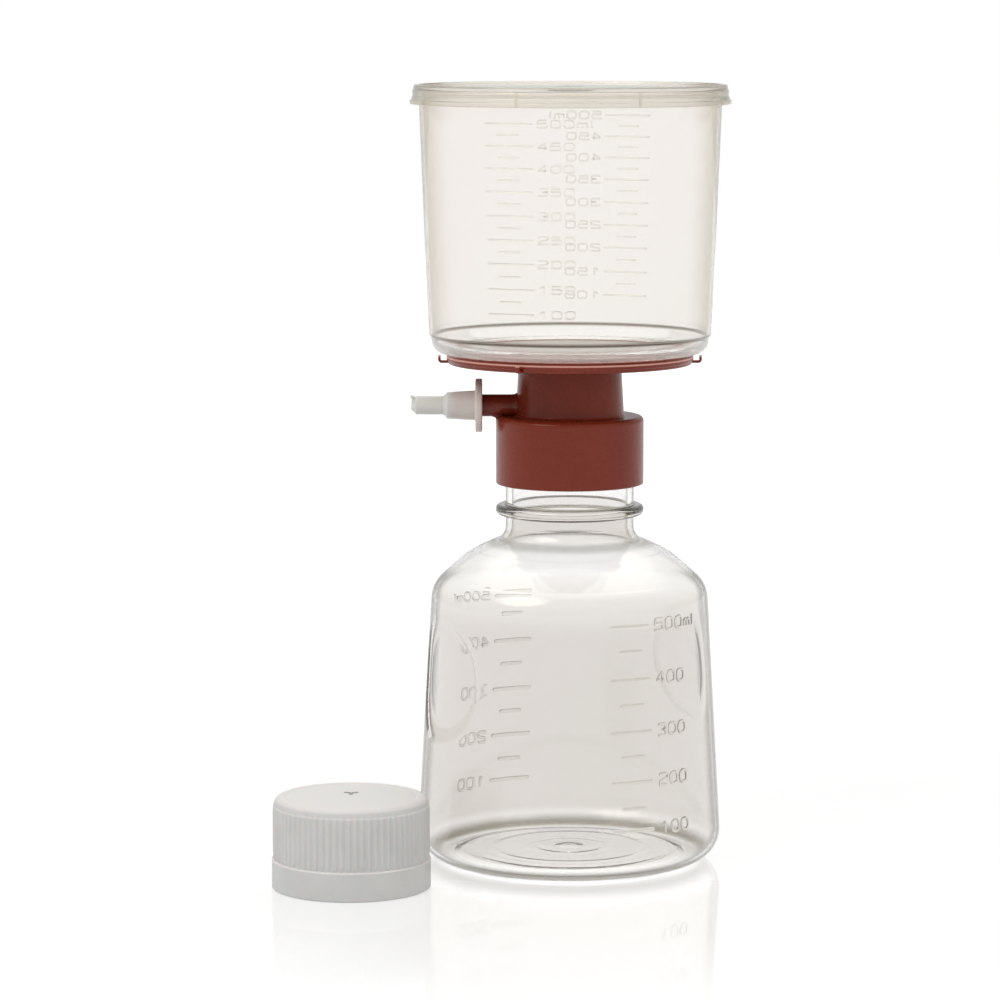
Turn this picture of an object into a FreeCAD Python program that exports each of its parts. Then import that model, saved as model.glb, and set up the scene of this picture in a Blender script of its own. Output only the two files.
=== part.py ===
"""Vacuum filtration unit of half a litre, with its receiver bottle and the bottle's own cap.

A clear upper chamber with a lid stands on a coloured filter base. The base holds the
membrane on a slotted plate, drains it through a drip tube and screws onto the neck of a
clear receiver bottle. Its side arm takes the adapter for a vacuum hose. The bottle's white
cap stands beside it, open side down.

Millimetres, +Z up. The origin is the middle of the bottle's foot, on the bench. Angles
around the axis count from the front (-Y), positive towards +X.
"""
import FreeCAD, Part
import math
import os

from FreeCAD import Vector

# ---------------------------------------------------------------- receiver bottle
BOTTLE_FOOT_R = 49.85        # where the tapered wall would meet the bench
BOTTLE_TAPER = 0.0567        # loss of radius for each millimetre of height
HEEL_RADIUS = 9.7
FOOT_RING_INNER_R = 37.6
PUSH_UP_EDGE_R = 28.0
PUSH_UP_EDGE_Z = 1.7
PUSH_UP_CENTRE_Z = 2.4
SHOULDER_START_Z = 89.9      # corner between the wall and the shoulder
SHOULDER_RADIUS = 10.0
SHOULDER_KNEE_R = 33.3
SHOULDER_KNEE_Z = 100.3
SHOULDER_KNEE_RADIUS = 20.0
NECK_FOOT_Z = 106.1
NECK_FOOT_RADIUS = 4.5
BOTTLE_WALL = 1.4
NECK_R = 20.8
NECK_WALL = 2.0
MOUTH_Z = 141.9
BEAD_STAND = 3.2             # how far the bead stands out from the neck
BEAD_Z = 114.45
BEAD_HEIGHT = 3.3
BEAD_EDGE = 1.5
MOUTH_EDGE = 0.5

# finger grips, one on each side of the bottle
GRIP_ANGLES = (-64.0, 116.0)
GRIP_Z = 61.5
GRIP_HALF_WIDTH = 19.5
GRIP_HALF_HEIGHT = 19.5
GRIP_RIM_SLOPE = 1.0         # widening of the oval for each millimetre outwards
GRIP_DEPTH = 1.5

# ---------------------------------------------------------------- neck thread
THREAD_PITCH = 4.2
THREAD_HEIGHT = 1.5
THREAD_ROOT_HALF = 1.1
THREAD_CREST_HALF = 0.45
THREAD_START_Z = 131.0
THREAD_TURNS = 1.5
THREAD_GAP = 0.35            # radial and flank clearance of the mating thread
MATING_TURNS = 1.75
MATING_ROOT_HALF = 1.0
MATING_CREST_HALF = 0.4
THREAD_SINK = 0.3            # how far a ridge is rooted in its wall

# ---------------------------------------------------------------- filter base
COLLAR_WALL = 1.25
COLLAR_LOWER_Z = 122.8
CEILING_THICKNESS = 1.8
COLLAR_EDGE = 1.6
SEAL_THICKNESS = 1.2
SEAL_OVERHANG = 1.6          # reach of the seal inside the neck's bore
SEAL_SIDE_GAP = 0.45
COLUMN_LOWER_R = 17.55
COLUMN_UPPER_R = 16.6
COLUMN_WALL = 1.8
COLUMN_FILLET = 0.8
DRIP_TUBE_R = 5.2
DRIP_BORE_R = 4.0
DRIP_TUBE_END_Z = 128.0
PAN_UNDERSIDE_Z = 161.2
PAN_THICKNESS = 1.5
PAN_RISE = 1.2               # slope of the pan floor, from the drain to its edge
FLANGE_R = 39.9
FLANGE_LOWER_Z = 161.8
FLANGE_UPPER_Z = 165.4
FLANGE_EDGE = 0.5
FLANGE_STEP_Z = 162.7        # below it the flange is narrower
FLANGE_STEP = 0.4
FLANGE_GROOVE_Z = 164.4
FLANGE_GROOVE_DEPTH = 0.4
FLANGE_GROOVE_HEIGHT = 0.7
RIM_INSET = 1.0              # shoulder of the flange outside the raised rim
RIM_TOP_Z = 166.3
DRAIN_RIB_COUNT = 12
DRAIN_RIB_WIDTH = 1.0
DRAIN_RIB_START_R = 8.0

# hooks around the flange
HOOK_ANGLES = (-90.0, -24.0, 90.0, 156.0)
HOOK_REACH = 2.7             # beyond the flange
HOOK_WIDTH = 1.4
HOOK_ARM_Z = 161.9
HOOK_TOP_Z = 164.4
HOOK_ARM_THICKNESS = 0.8
HOOK_LEG_THICKNESS = 0.9

# side arm, towards -X
ARM_R = 3.6
ARM_BORE_R = 2.2
ARM_REACH = 14.9             # beyond the collar
ARM_RISE = 3.2               # height of the arm's axis over the collar's top
ARM_CHAMFER = 0.5
GUSSET_REACH = 0.9
GUSSET_DROP = 1.6
GUSSET_WIDTH = 4.4

# ---------------------------------------------------------------- support plate, membrane
PLATE_THICKNESS = 1.7
PLATE_INSET = 2.0            # inside the rim's outer face
PLATE_GAP = 0.2
PLATE_LEDGE = 1.2            # ledge of the pan under the plate's edge
SLOT_WIDTH = 1.2
SLOT_RINGS = ((0.21, 0.40, 12), (0.47, 0.67, 24), (0.735, 0.92, 36))   # shares of the radius
MEMBRANE_INSET = 0.4
MEMBRANE_THICKNESS = 0.2

# ---------------------------------------------------------------- upper chamber
CHAMBER_WALL = 1.2
CHAMBER_CREASE_REACH = 5.7   # beyond the flange
CHAMBER_CREASE_Z = 171.4
CHAMBER_TAPER = 0.0405       # gain of radius for each millimetre of height
CHAMBER_TOP_Z = 249.6
CHAMBER_STEP = 0.65
CHAMBER_STEP_HEIGHT = 0.8
CHAMBER_FOOT_REACH = 4.35    # beyond the flange
CHAMBER_FOOT_RADIUS = 3.9
CHAMBER_LIP_WIDTH = 1.9      # lip over the membrane's edge
CHAMBER_RIM_GAP = 0.2
CHAMBER_BEAD = 0.95
CHAMBER_BEAD_HEIGHT = 2.0

# ---------------------------------------------------------------- lid
LID_PLATE = 1.2
LID_RIM_HEIGHT = 0.7
LID_RIM_WIDTH = 1.4
LID_SKIRT_GAP = 0.35
LID_SKIRT_DEPTH = 4.4        # below the chamber's top
LID_TOP_WALL = 0.3           # skirt's wall at the top edge, at the waist and at the lip
LID_WAIST_WALL = 0.9
LID_LIP_WALL = 1.6
LID_LIP_HEIGHT = 1.4
LID_RIB_COUNT = 8
LID_RIB_WIDTH = 0.9
LID_RIB_GAP = 0.12
LID_RIB_FIRST = 2.0

# ---------------------------------------------------------------- hose adapter and plug
ADAPTER_STANDOFF = 4.4       # from the collar to the adapter's face
ADAPTER_FLANGE_R = 8.7
ADAPTER_FLANGE_THICKNESS = 2.3
ADAPTER_BODY_R = 4.85
ADAPTER_BODY_END_R = 4.3
ADAPTER_BODY_LENGTH = 11.4
ADAPTER_SHOULDER_LENGTH = 1.3
ADAPTER_TIP_R = 3.0
ADAPTER_TIP_LENGTH = 8.7
ADAPTER_NOSE_LENGTH = 1.6
ADAPTER_NOSE_R = 1.45
ADAPTER_BORE_R = 1.1
ADAPTER_FIT = 0.05           # running clearance over the side arm
ADAPTER_END_GAP = 0.4
PLUG_LENGTH = 7.5
PLUG_RECESS = 0.6
PLUG_GAP = 0.05

# ---------------------------------------------------------------- receiver cap
CAP_AZIMUTH = -56.0          # where the cap stands
CAP_DISTANCE = 9.5           # between the cap and the bottle
CAP_BAND_WALL = 2.5
CAP_BAND_HEIGHT = 9.3
CAP_ROOT_WALL = 1.75
CAP_RIB_HEIGHT = 0.4
CAP_RIB_COUNT = 72
CAP_RIB_TOP_Z = 26.8
CAP_HEIGHT = 29.0
CAP_EDGE = 2.2
CAP_TOP_THICKNESS = 1.7
CAP_TOP_BORDER = 3.4
CAP_TOP_DISH = 0.4
CAP_THREAD_START_Z = 7.5
CAP_PLUG_DEPTH = 3.6
CAP_PLUG_WALL = 1.2
CAP_PLUG_GAP = 0.2

# ---------------------------------------------------------------- places that follow
NECK_BORE_R = NECK_R - NECK_WALL
BEAD_R = NECK_R + BEAD_STAND
THREAD_CREST_R = NECK_R + THREAD_HEIGHT
COLLAR_BORE_R = THREAD_CREST_R + THREAD_GAP
COLLAR_R = COLLAR_BORE_R + COLLAR_WALL
CEILING_Z = MOUTH_Z + SEAL_THICKNESS
COLLAR_TOP_Z = CEILING_Z + CEILING_THICKNESS
ARM_Z = COLLAR_TOP_Z + ARM_RISE
ARM_END_X = -COLLAR_R - ARM_REACH
ADAPTER_FACE_X = -COLLAR_R - ADAPTER_STANDOFF
RIM_OUTER_R = FLANGE_R - RIM_INSET
HOOK_REACH_R = FLANGE_R + HOOK_REACH
PLATE_R = RIM_OUTER_R - PLATE_INSET
PLATE_RECESS_R = PLATE_R + PLATE_GAP
PLATE_SEAT_Z = RIM_TOP_Z - PLATE_THICKNESS
PAN_R = PLATE_R - PLATE_LEDGE
MEMBRANE_R = RIM_OUTER_R - MEMBRANE_INSET
MEMBRANE_TOP_Z = RIM_TOP_Z + MEMBRANE_THICKNESS
CHAMBER_OPENING_R = RIM_OUTER_R - CHAMBER_LIP_WIDTH
CHAMBER_CREASE_R = FLANGE_R + CHAMBER_CREASE_REACH
CHAMBER_FOOT_R = FLANGE_R + CHAMBER_FOOT_REACH
CHAMBER_BEAD_LOWER_Z = CHAMBER_TOP_Z - CHAMBER_BEAD_HEIGHT
CHAMBER_TOP_R = CHAMBER_CREASE_R + CHAMBER_TAPER * (CHAMBER_BEAD_LOWER_Z - CHAMBER_CREASE_Z)
CHAMBER_BEAD_R = CHAMBER_TOP_R + CHAMBER_BEAD
LID_PLATE_TOP_Z = CHAMBER_TOP_Z + LID_PLATE
LID_TOP_Z = LID_PLATE_TOP_Z + LID_RIM_HEIGHT
LID_SKIRT_BORE_R = CHAMBER_BEAD_R + LID_SKIRT_GAP
CAP_BAND_R = COLLAR_BORE_R + CAP_BAND_WALL
CAP_ROOT_R = COLLAR_BORE_R + CAP_ROOT_WALL
CAP_RIB_R = CAP_ROOT_R + CAP_RIB_HEIGHT

UP = Vector(0, 0, 1)
ORIGIN = Vector(0, 0, 0)
OVERLAP = 0.4                # how far fused features reach into each other
OVAL_POINTS = 16


def outline(corners):
    """Closed wire in the XZ plane from corners (r, z) or (r, z, fillet radius)."""
    count = len(corners)
    starts, ends, edges = [], [], []
    for index, corner in enumerate(corners):
        here = Vector(corner[0], 0, corner[1])
        fillet = corner[2] if len(corner) > 2 else 0.0
        if not fillet:
            starts.append(here)
            ends.append(here)
            continue
        before = Vector(corners[index - 1][0], 0, corners[index - 1][1]) - here
        after_corner = corners[(index + 1) % count]
        after = Vector(after_corner[0], 0, after_corner[1]) - here
        half = before.getAngle(after) / 2
        reach = fillet / math.tan(half)
        before.normalize()
        after.normalize()
        first = here + before * reach
        last = here + after * reach
        middle_way = before + after
        middle_way.normalize()
        centre = here + middle_way * (fillet / math.sin(half))
        middle = centre - middle_way * fillet
        edges.append(Part.Arc(first, middle, last).toShape())
        starts.append(first)
        ends.append(last)
    for index in range(count):
        leave, arrive = ends[index], starts[(index + 1) % count]
        if leave.distanceToPoint(arrive) > 1e-6:
            edges.append(Part.LineSegment(leave, arrive).toShape())
    return Part.Wire(Part.__sortEdges__(edges))


def turned(corners):
    """Solid of revolution about the Z axis."""
    return Part.Face(outline(corners)).revolve(ORIGIN, UP, 360)


def from_front(shape, degrees):
    """Copy of a shape built at the front (-Y), turned to its angle around the axis."""
    copy = shape.copy()
    copy.rotate(ORIGIN, UP, degrees)
    return copy


def block(x_range, y_range, z_range):
    """Box between two corners, given as three (low, high) pairs."""
    (x_low, x_high), (y_low, y_high), (z_low, z_high) = x_range, y_range, z_range
    return Part.makeBox(x_high - x_low, y_high - y_low, z_high - z_low,
                        Vector(x_low, y_low, z_low))


def ridge(wall_r, crest_r, root_half, crest_half, start_z, turns):
    """Helical ridge of trapezium section on a wall, rooted a little way into it."""
    outward = 1 if crest_r > wall_r else -1
    root_r = wall_r - outward * THREAD_SINK
    slope = (root_half - crest_half) / abs(crest_r - wall_r)
    sunk_half = root_half + slope * THREAD_SINK
    section = Part.makePolygon([
        Vector(root_r, 0, -sunk_half),
        Vector(crest_r, 0, -crest_half),
        Vector(crest_r, 0, crest_half),
        Vector(root_r, 0, sunk_half),
        Vector(root_r, 0, -sunk_half),
    ])
    helix = Part.makeHelix(THREAD_PITCH, THREAD_PITCH * turns, wall_r)
    solid = Part.Wire(helix).makePipeShell([section], True, True)
    solid.translate(Vector(0, 0, start_z))
    return solid


def mating_ridge(start_z):
    """Inner ridge of a collar or cap, under the neck's ridge by half of each and the gap."""
    half_way_half = (THREAD_ROOT_HALF + THREAD_CREST_HALF) / 2
    mating_half = (MATING_ROOT_HALF + MATING_CREST_HALF) / 2
    offset = half_way_half + mating_half + THREAD_GAP
    return ridge(COLLAR_BORE_R, NECK_R + THREAD_GAP, MATING_ROOT_HALF, MATING_CREST_HALF,
                 start_z - offset, MATING_TURNS)


def bottle_wall_r(z):
    """Outer radius of the bottle's tapered wall at a height."""
    return BOTTLE_FOOT_R - BOTTLE_TAPER * z


def inset_corner(before, here, after, distance):
    """Corner of an outline moved inwards (to the left of its direction) by a distance."""
    way_in = (Vector(*here) - Vector(*before)).normalize()
    way_out = (Vector(*after) - Vector(*here)).normalize()
    normal_in = Vector(-way_in.y, way_in.x, 0)
    normal_out = Vector(-way_out.y, way_out.x, 0)
    middle = (normal_in + normal_out).normalize()
    moved = Vector(*here) + middle * (distance / middle.dot(normal_in))
    return moved.x, moved.y


def grip_pad(depth, margin):
    """Oval pad of one finger grip at the front, outside the wall less a depth."""
    face_y = bottle_wall_r(GRIP_Z)
    side_y = math.sqrt(face_y ** 2 - GRIP_HALF_WIDTH ** 2)
    ovals = []
    for y in (side_y - depth - GRIP_DEPTH, face_y + GRIP_DEPTH):
        half_width = GRIP_HALF_WIDTH + margin + (y - side_y) * GRIP_RIM_SLOPE
        half_height = GRIP_HALF_HEIGHT + margin + (y - face_y) * GRIP_RIM_SLOPE
        ovals.append(oval(half_width, half_height, y))
    frustum = Part.makeLoft(ovals, True, True)
    low, high = GRIP_Z - 2 * GRIP_HALF_HEIGHT, GRIP_Z + 2 * GRIP_HALF_HEIGHT
    core = Part.makeCone(bottle_wall_r(low) - depth, bottle_wall_r(high) - depth,
                         high - low, Vector(0, 0, low))
    return frustum.cut(core)


def oval(half_width, half_height, y):
    """Smooth closed oval in a plane of constant Y, through its four ends and between."""
    points = []
    for index in range(OVAL_POINTS):
        angle = 2 * math.pi * index / OVAL_POINTS
        points.append(Vector(half_width * math.cos(angle), -y,
                             GRIP_Z + half_height * math.sin(angle)))
    curve = Part.BSplineCurve()
    curve.interpolate(points, PeriodicFlag=True)
    return Part.Wire(curve.toShape())


def receiver_bottle():
    """Blown bottle with a pushed-up foot, two finger grips and a threaded neck."""
    shoulder_r = bottle_wall_r(SHOULDER_START_Z)
    bead_low = BEAD_Z - BEAD_HEIGHT / 2
    bead_high = BEAD_Z + BEAD_HEIGHT / 2
    outside = turned([
        (0, 0),
        (BOTTLE_FOOT_R, 0, HEEL_RADIUS),
        (shoulder_r, SHOULDER_START_Z, SHOULDER_RADIUS),
        (SHOULDER_KNEE_R, SHOULDER_KNEE_Z, SHOULDER_KNEE_RADIUS),
        (NECK_R, NECK_FOOT_Z, NECK_FOOT_RADIUS),
        (NECK_R, bead_low),
        (BEAD_R, bead_low, BEAD_EDGE),
        (BEAD_R, bead_high, BEAD_EDGE),
        (NECK_R, bead_high),
        (NECK_R, MOUTH_Z, MOUTH_EDGE),
        (0, MOUTH_Z),
    ])
    push_up = turned([
        (0, -OVERLAP),
        (FOOT_RING_INNER_R, -OVERLAP),
        (FOOT_RING_INNER_R, 0),
        (FOOT_RING_INNER_R - PUSH_UP_EDGE_Z, PUSH_UP_EDGE_Z * 0.8, 1.0),
        (PUSH_UP_EDGE_R, PUSH_UP_EDGE_Z),
        (0, PUSH_UP_CENTRE_Z),
    ])
    heel = inset_corner((0, 0), (BOTTLE_FOOT_R, 0), (shoulder_r, SHOULDER_START_Z), BOTTLE_WALL)
    shoulder = inset_corner((BOTTLE_FOOT_R, 0), (shoulder_r, SHOULDER_START_Z),
                            (SHOULDER_KNEE_R, SHOULDER_KNEE_Z), BOTTLE_WALL)
    knee = inset_corner((shoulder_r, SHOULDER_START_Z), (SHOULDER_KNEE_R, SHOULDER_KNEE_Z),
                        (NECK_R, NECK_FOOT_Z), BOTTLE_WALL)
    way = (NECK_FOOT_Z - SHOULDER_KNEE_Z) / (NECK_R - SHOULDER_KNEE_R)
    neck_root_z = knee[1] + (NECK_BORE_R - knee[0]) * way
    grip_margin = BOTTLE_WALL * math.hypot(1.0, GRIP_RIM_SLOPE)
    cavity = turned([
        (0, PUSH_UP_CENTRE_Z + BOTTLE_WALL),
        (PUSH_UP_EDGE_R, PUSH_UP_EDGE_Z + BOTTLE_WALL),
        (FOOT_RING_INNER_R - PUSH_UP_EDGE_Z, PUSH_UP_EDGE_Z * 0.8 + BOTTLE_WALL),
        (FOOT_RING_INNER_R, BOTTLE_WALL),
        (heel[0], BOTTLE_WALL, HEEL_RADIUS - BOTTLE_WALL),
        (shoulder[0], shoulder[1], SHOULDER_RADIUS - BOTTLE_WALL),
        (knee[0], knee[1], SHOULDER_KNEE_RADIUS - BOTTLE_WALL),
        (NECK_BORE_R, neck_root_z, NECK_FOOT_RADIUS + BOTTLE_WALL),
        (NECK_BORE_R, MOUTH_Z + OVERLAP),
        (0, MOUTH_Z + OVERLAP),
    ])
    for angle in GRIP_ANGLES:
        outside = outside.cut(from_front(grip_pad(GRIP_DEPTH, 0.0), angle))
        inner_pad = grip_pad(GRIP_DEPTH + BOTTLE_WALL, grip_margin)
        cavity = cavity.cut(from_front(inner_pad, angle))
    thread = ridge(NECK_R, THREAD_CREST_R, THREAD_ROOT_HALF, THREAD_CREST_HALF,
                   THREAD_START_Z, THREAD_TURNS)
    return outside.fuse(thread).cut(push_up).cut(cavity)


def filter_base():
    """One moulding: collar with its inner thread, column, drip tube, pan, flange and arm."""
    column_bore_lower = COLUMN_LOWER_R - COLUMN_WALL
    column_bore_upper = COLUMN_UPPER_R - COLUMN_WALL
    floor_z = PAN_UNDERSIDE_Z + PAN_THICKNESS
    groove_low = FLANGE_GROOVE_Z - FLANGE_GROOVE_HEIGHT / 2
    groove_high = FLANGE_GROOVE_Z + FLANGE_GROOVE_HEIGHT / 2
    step_r = FLANGE_R - FLANGE_STEP
    body = turned([
        (DRIP_BORE_R, DRIP_TUBE_END_Z),
        (DRIP_TUBE_R, DRIP_TUBE_END_Z),
        (DRIP_TUBE_R, PAN_UNDERSIDE_Z),
        (column_bore_upper, PAN_UNDERSIDE_Z),
        (column_bore_lower, CEILING_Z),
        (COLLAR_BORE_R, CEILING_Z),
        (COLLAR_BORE_R, COLLAR_LOWER_Z),
        (COLLAR_R, COLLAR_LOWER_Z, COLLAR_WALL / 3),
        (COLLAR_R, COLLAR_TOP_Z, COLLAR_EDGE),
        (COLUMN_LOWER_R, COLLAR_TOP_Z, COLUMN_FILLET),
        (COLUMN_UPPER_R, PAN_UNDERSIDE_Z, COLUMN_FILLET),
        (step_r - FLANGE_EDGE * 3, FLANGE_LOWER_Z),
        (step_r, FLANGE_LOWER_Z, FLANGE_EDGE),
        (step_r, FLANGE_STEP_Z),
        (FLANGE_R, FLANGE_STEP_Z + FLANGE_STEP),
        (FLANGE_R, groove_low),
        (FLANGE_R - FLANGE_GROOVE_DEPTH, FLANGE_GROOVE_Z),
        (FLANGE_R, groove_high),
        (FLANGE_R, FLANGE_UPPER_Z, FLANGE_EDGE),
        (RIM_OUTER_R, FLANGE_UPPER_Z),
        (RIM_OUTER_R, RIM_TOP_Z),
        (PLATE_RECESS_R, RIM_TOP_Z),
        (PLATE_RECESS_R, PLATE_SEAT_Z),
        (PAN_R, PLATE_SEAT_Z),
        (PAN_R, floor_z + PAN_RISE),
        (DRIP_BORE_R, floor_z),
    ])
    body = body.fuse(mating_ridge(THREAD_START_Z))
    extras = drain_ribs(floor_z) + hooks() + [side_arm(), arm_gusset()]
    body = body.fuse(extras)
    reach = -column_bore_lower + OVERLAP * 3
    bore = Part.makeCylinder(ARM_BORE_R, reach - ARM_END_X + OVERLAP,
                             Vector(reach, 0, ARM_Z), Vector(-1, 0, 0))
    return body.cut(bore)


def drain_ribs(floor_z):
    """Radial ribs on the pan that carry the support plate."""
    rib = block((-DRAIN_RIB_WIDTH / 2, DRAIN_RIB_WIDTH / 2),
                (-PAN_R - OVERLAP, -DRAIN_RIB_START_R),
                (floor_z - OVERLAP, PLATE_SEAT_Z))
    return [from_front(rib, 360 / DRAIN_RIB_COUNT * (index + 0.5))
            for index in range(DRAIN_RIB_COUNT)]


def hooks():
    """Small upturned hooks that stand out from the flange."""
    half = HOOK_WIDTH / 2
    arm = block((-half, half), (-HOOK_REACH_R, -FLANGE_R + OVERLAP * 2),
                (HOOK_ARM_Z, HOOK_ARM_Z + HOOK_ARM_THICKNESS))
    leg = block((-half, half), (-HOOK_REACH_R, -HOOK_REACH_R + HOOK_LEG_THICKNESS),
                (HOOK_ARM_Z, HOOK_TOP_Z))
    hook = arm.fuse(leg).removeSplitter()
    return [from_front(hook, angle) for angle in HOOK_ANGLES]


def side_arm():
    """Round arm from inside the column's wall to its chamfered end."""
    root_x = -(COLUMN_LOWER_R - COLUMN_WALL / 2)
    arm = Part.makeCylinder(ARM_R, root_x - ARM_END_X, Vector(root_x, 0, ARM_Z),
                            Vector(-1, 0, 0))
    end = [edge for edge in arm.Edges
           if abs(edge.CenterOfMass.x - ARM_END_X) < 1e-6 and edge.Length > ARM_R]
    return arm.makeChamfer(ARM_CHAMFER, end)


def arm_gusset():
    """Hollow-faced web between the arm's underside and the collar's edge."""
    inner_x = -(COLLAR_R - COLLAR_EDGE - OVERLAP)
    wall_x = -COLLAR_R + OVERLAP
    tip_x = -COLLAR_R - GUSSET_REACH
    top_z = ARM_Z - ARM_R + OVERLAP * 2
    under_z = ARM_Z - ARM_R
    foot_z = COLLAR_TOP_Z - GUSSET_DROP
    corners = [Vector(inner_x, 0, top_z), Vector(tip_x, 0, top_z), Vector(tip_x, 0, under_z)]
    edges = [Part.LineSegment(a, b).toShape() for a, b in zip(corners, corners[1:])]
    foot = Vector(-COLLAR_R, 0, foot_z)
    middle = Vector(-COLLAR_R - GUSSET_REACH * 0.3, 0, under_z - GUSSET_DROP * 0.25)
    edges.append(Part.Arc(corners[2], middle, foot).toShape())
    last = [foot, Vector(wall_x, 0, foot_z), Vector(inner_x, 0, COLLAR_TOP_Z - COLLAR_EDGE),
            corners[0]]
    edges += [Part.LineSegment(a, b).toShape() for a, b in zip(last, last[1:])]
    web = Part.Face(Part.Wire(edges)).extrude(Vector(0, GUSSET_WIDTH, 0))
    web.translate(Vector(0, -GUSSET_WIDTH / 2, 0))
    return web


def support_plate():
    """Flat disc with rings of radial drain slots, carried by the pan's ribs."""
    plate = Part.makeCylinder(PLATE_R, PLATE_THICKNESS, Vector(0, 0, PLATE_SEAT_Z))
    slots = []
    for inner, outer, count in SLOT_RINGS:
        slot = block((-SLOT_WIDTH / 2, SLOT_WIDTH / 2), (-outer * PLATE_R, -inner * PLATE_R),
                     (PLATE_SEAT_Z - OVERLAP, RIM_TOP_Z + OVERLAP))
        slots += [from_front(slot, 360 / count * index) for index in range(count)]
    return plate.cut(Part.Compound(slots))


def filter_membrane():
    """Thin disc clamped between the base's rim and the chamber's lip."""
    return Part.makeCylinder(MEMBRANE_R, MEMBRANE_THICKNESS, Vector(0, 0, RIM_TOP_Z))


def upper_chamber():
    """Clear tapered cup, open at the bottom over the membrane."""
    foot_z = FLANGE_UPPER_Z
    step_z = CHAMBER_CREASE_Z - CHAMBER_STEP_HEIGHT
    step_r = CHAMBER_CREASE_R - CHAMBER_STEP
    lip_top_z = MEMBRANE_TOP_Z + CHAMBER_WALL
    seat_r = RIM_OUTER_R + CHAMBER_RIM_GAP
    return turned([
        (CHAMBER_OPENING_R, MEMBRANE_TOP_Z),
        (seat_r, MEMBRANE_TOP_Z),
        (seat_r, foot_z),
        (CHAMBER_FOOT_R, foot_z, CHAMBER_FOOT_RADIUS),
        (step_r, step_z),
        (CHAMBER_CREASE_R, CHAMBER_CREASE_Z),
        (CHAMBER_TOP_R, CHAMBER_BEAD_LOWER_Z),
        (CHAMBER_BEAD_R, CHAMBER_BEAD_LOWER_Z, 0.4),
        (CHAMBER_BEAD_R, CHAMBER_TOP_Z, 0.4),
        (CHAMBER_TOP_R - CHAMBER_WALL, CHAMBER_TOP_Z, 0.2),
        (CHAMBER_CREASE_R - CHAMBER_WALL, CHAMBER_CREASE_Z),
        (step_r - CHAMBER_WALL, step_z),
        (CHAMBER_FOOT_R - CHAMBER_WALL, lip_top_z, CHAMBER_FOOT_RADIUS - CHAMBER_WALL),
        (CHAMBER_OPENING_R, lip_top_z, 0.4),
    ])


def chamber_lid():
    """Loose lid with a stepped skirt, a stacking rim and inner ribs that vent it."""
    skirt_z = CHAMBER_TOP_Z - LID_SKIRT_DEPTH
    lip_top_z = skirt_z + LID_LIP_HEIGHT
    lip_r = LID_SKIRT_BORE_R + LID_LIP_WALL
    waist_r = LID_SKIRT_BORE_R + LID_WAIST_WALL
    top_r = LID_SKIRT_BORE_R + LID_TOP_WALL
    lid = turned([
        (0, CHAMBER_TOP_Z),
        (LID_SKIRT_BORE_R, CHAMBER_TOP_Z),
        (LID_SKIRT_BORE_R, skirt_z),
        (lip_r, skirt_z, 0.3),
        (lip_r, lip_top_z, 0.3),
        (waist_r + 0.2, lip_top_z + 0.2),
        (waist_r, CHAMBER_TOP_Z),
        (top_r + 0.15, CHAMBER_TOP_Z + 0.3),
        (top_r, LID_TOP_Z, 0.6),
        (top_r - LID_RIM_WIDTH, LID_TOP_Z, 0.4),
        (top_r - LID_RIM_WIDTH - 0.4, LID_PLATE_TOP_Z),
        (0, LID_PLATE_TOP_Z),
    ])
    half = LID_RIB_WIDTH / 2
    rib = block((-half, half), (-LID_SKIRT_BORE_R - OVERLAP, -CHAMBER_BEAD_R - LID_RIB_GAP),
                (skirt_z + OVERLAP, CHAMBER_TOP_Z + OVERLAP))
    ribs = [from_front(rib, LID_RIB_FIRST + 360 / LID_RIB_COUNT * (index + 0.5))
            for index in range(LID_RIB_COUNT)]
    return lid.fuse(ribs)


def lay_along_arm(shape, face_x):
    """Turn a shape built up the Z axis so that it runs along the arm from a face."""
    shape.rotate(ORIGIN, Vector(0, 1, 0), -90)
    shape.translate(Vector(face_x, 0, ARM_Z))
    return shape


def hose_adapter():
    """Stepped adapter with a finger flange, pushed over the arm."""
    body_end = ADAPTER_BODY_LENGTH
    tip_start = body_end + ADAPTER_SHOULDER_LENGTH
    tip_end = tip_start + ADAPTER_TIP_LENGTH
    socket_r = ARM_R + ADAPTER_FIT
    socket_end = ADAPTER_FACE_X - ARM_END_X + ADAPTER_END_GAP
    shape = turned([
        (socket_r, 0),
        (ADAPTER_FLANGE_R, 0, 0.3),
        (ADAPTER_FLANGE_R, ADAPTER_FLANGE_THICKNESS, 0.3),
        (ADAPTER_BODY_R, ADAPTER_FLANGE_THICKNESS, 0.4),
        (ADAPTER_BODY_END_R, body_end, 0.6),
        (ADAPTER_TIP_R, tip_start),
        (ADAPTER_TIP_R, tip_end),
        (ADAPTER_NOSE_R, tip_end + ADAPTER_NOSE_LENGTH),
        (ADAPTER_BORE_R, tip_end + ADAPTER_NOSE_LENGTH),
        (ADAPTER_BORE_R, socket_end + 1.0),
        (socket_r, socket_end),
    ])
    return lay_along_arm(shape, ADAPTER_FACE_X)


def cotton_plug():
    """Cotton plug in the end of the side arm."""
    plug = Part.makeCylinder(ARM_BORE_R - PLUG_GAP, PLUG_LENGTH)
    return lay_along_arm(plug, ARM_END_X + PLUG_RECESS + PLUG_LENGTH)


def neck_seal():
    """Flat ring between the collar's ceiling and the bottle's mouth."""
    outer_r = COLLAR_BORE_R - SEAL_SIDE_GAP
    inner_r = NECK_BORE_R - SEAL_OVERHANG
    ring = Part.makeCylinder(outer_r, SEAL_THICKNESS, Vector(0, 0, MOUTH_Z))
    hole = Part.makeCylinder(inner_r, SEAL_THICKNESS, Vector(0, 0, MOUTH_Z))
    return ring.cut(hole)


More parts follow.
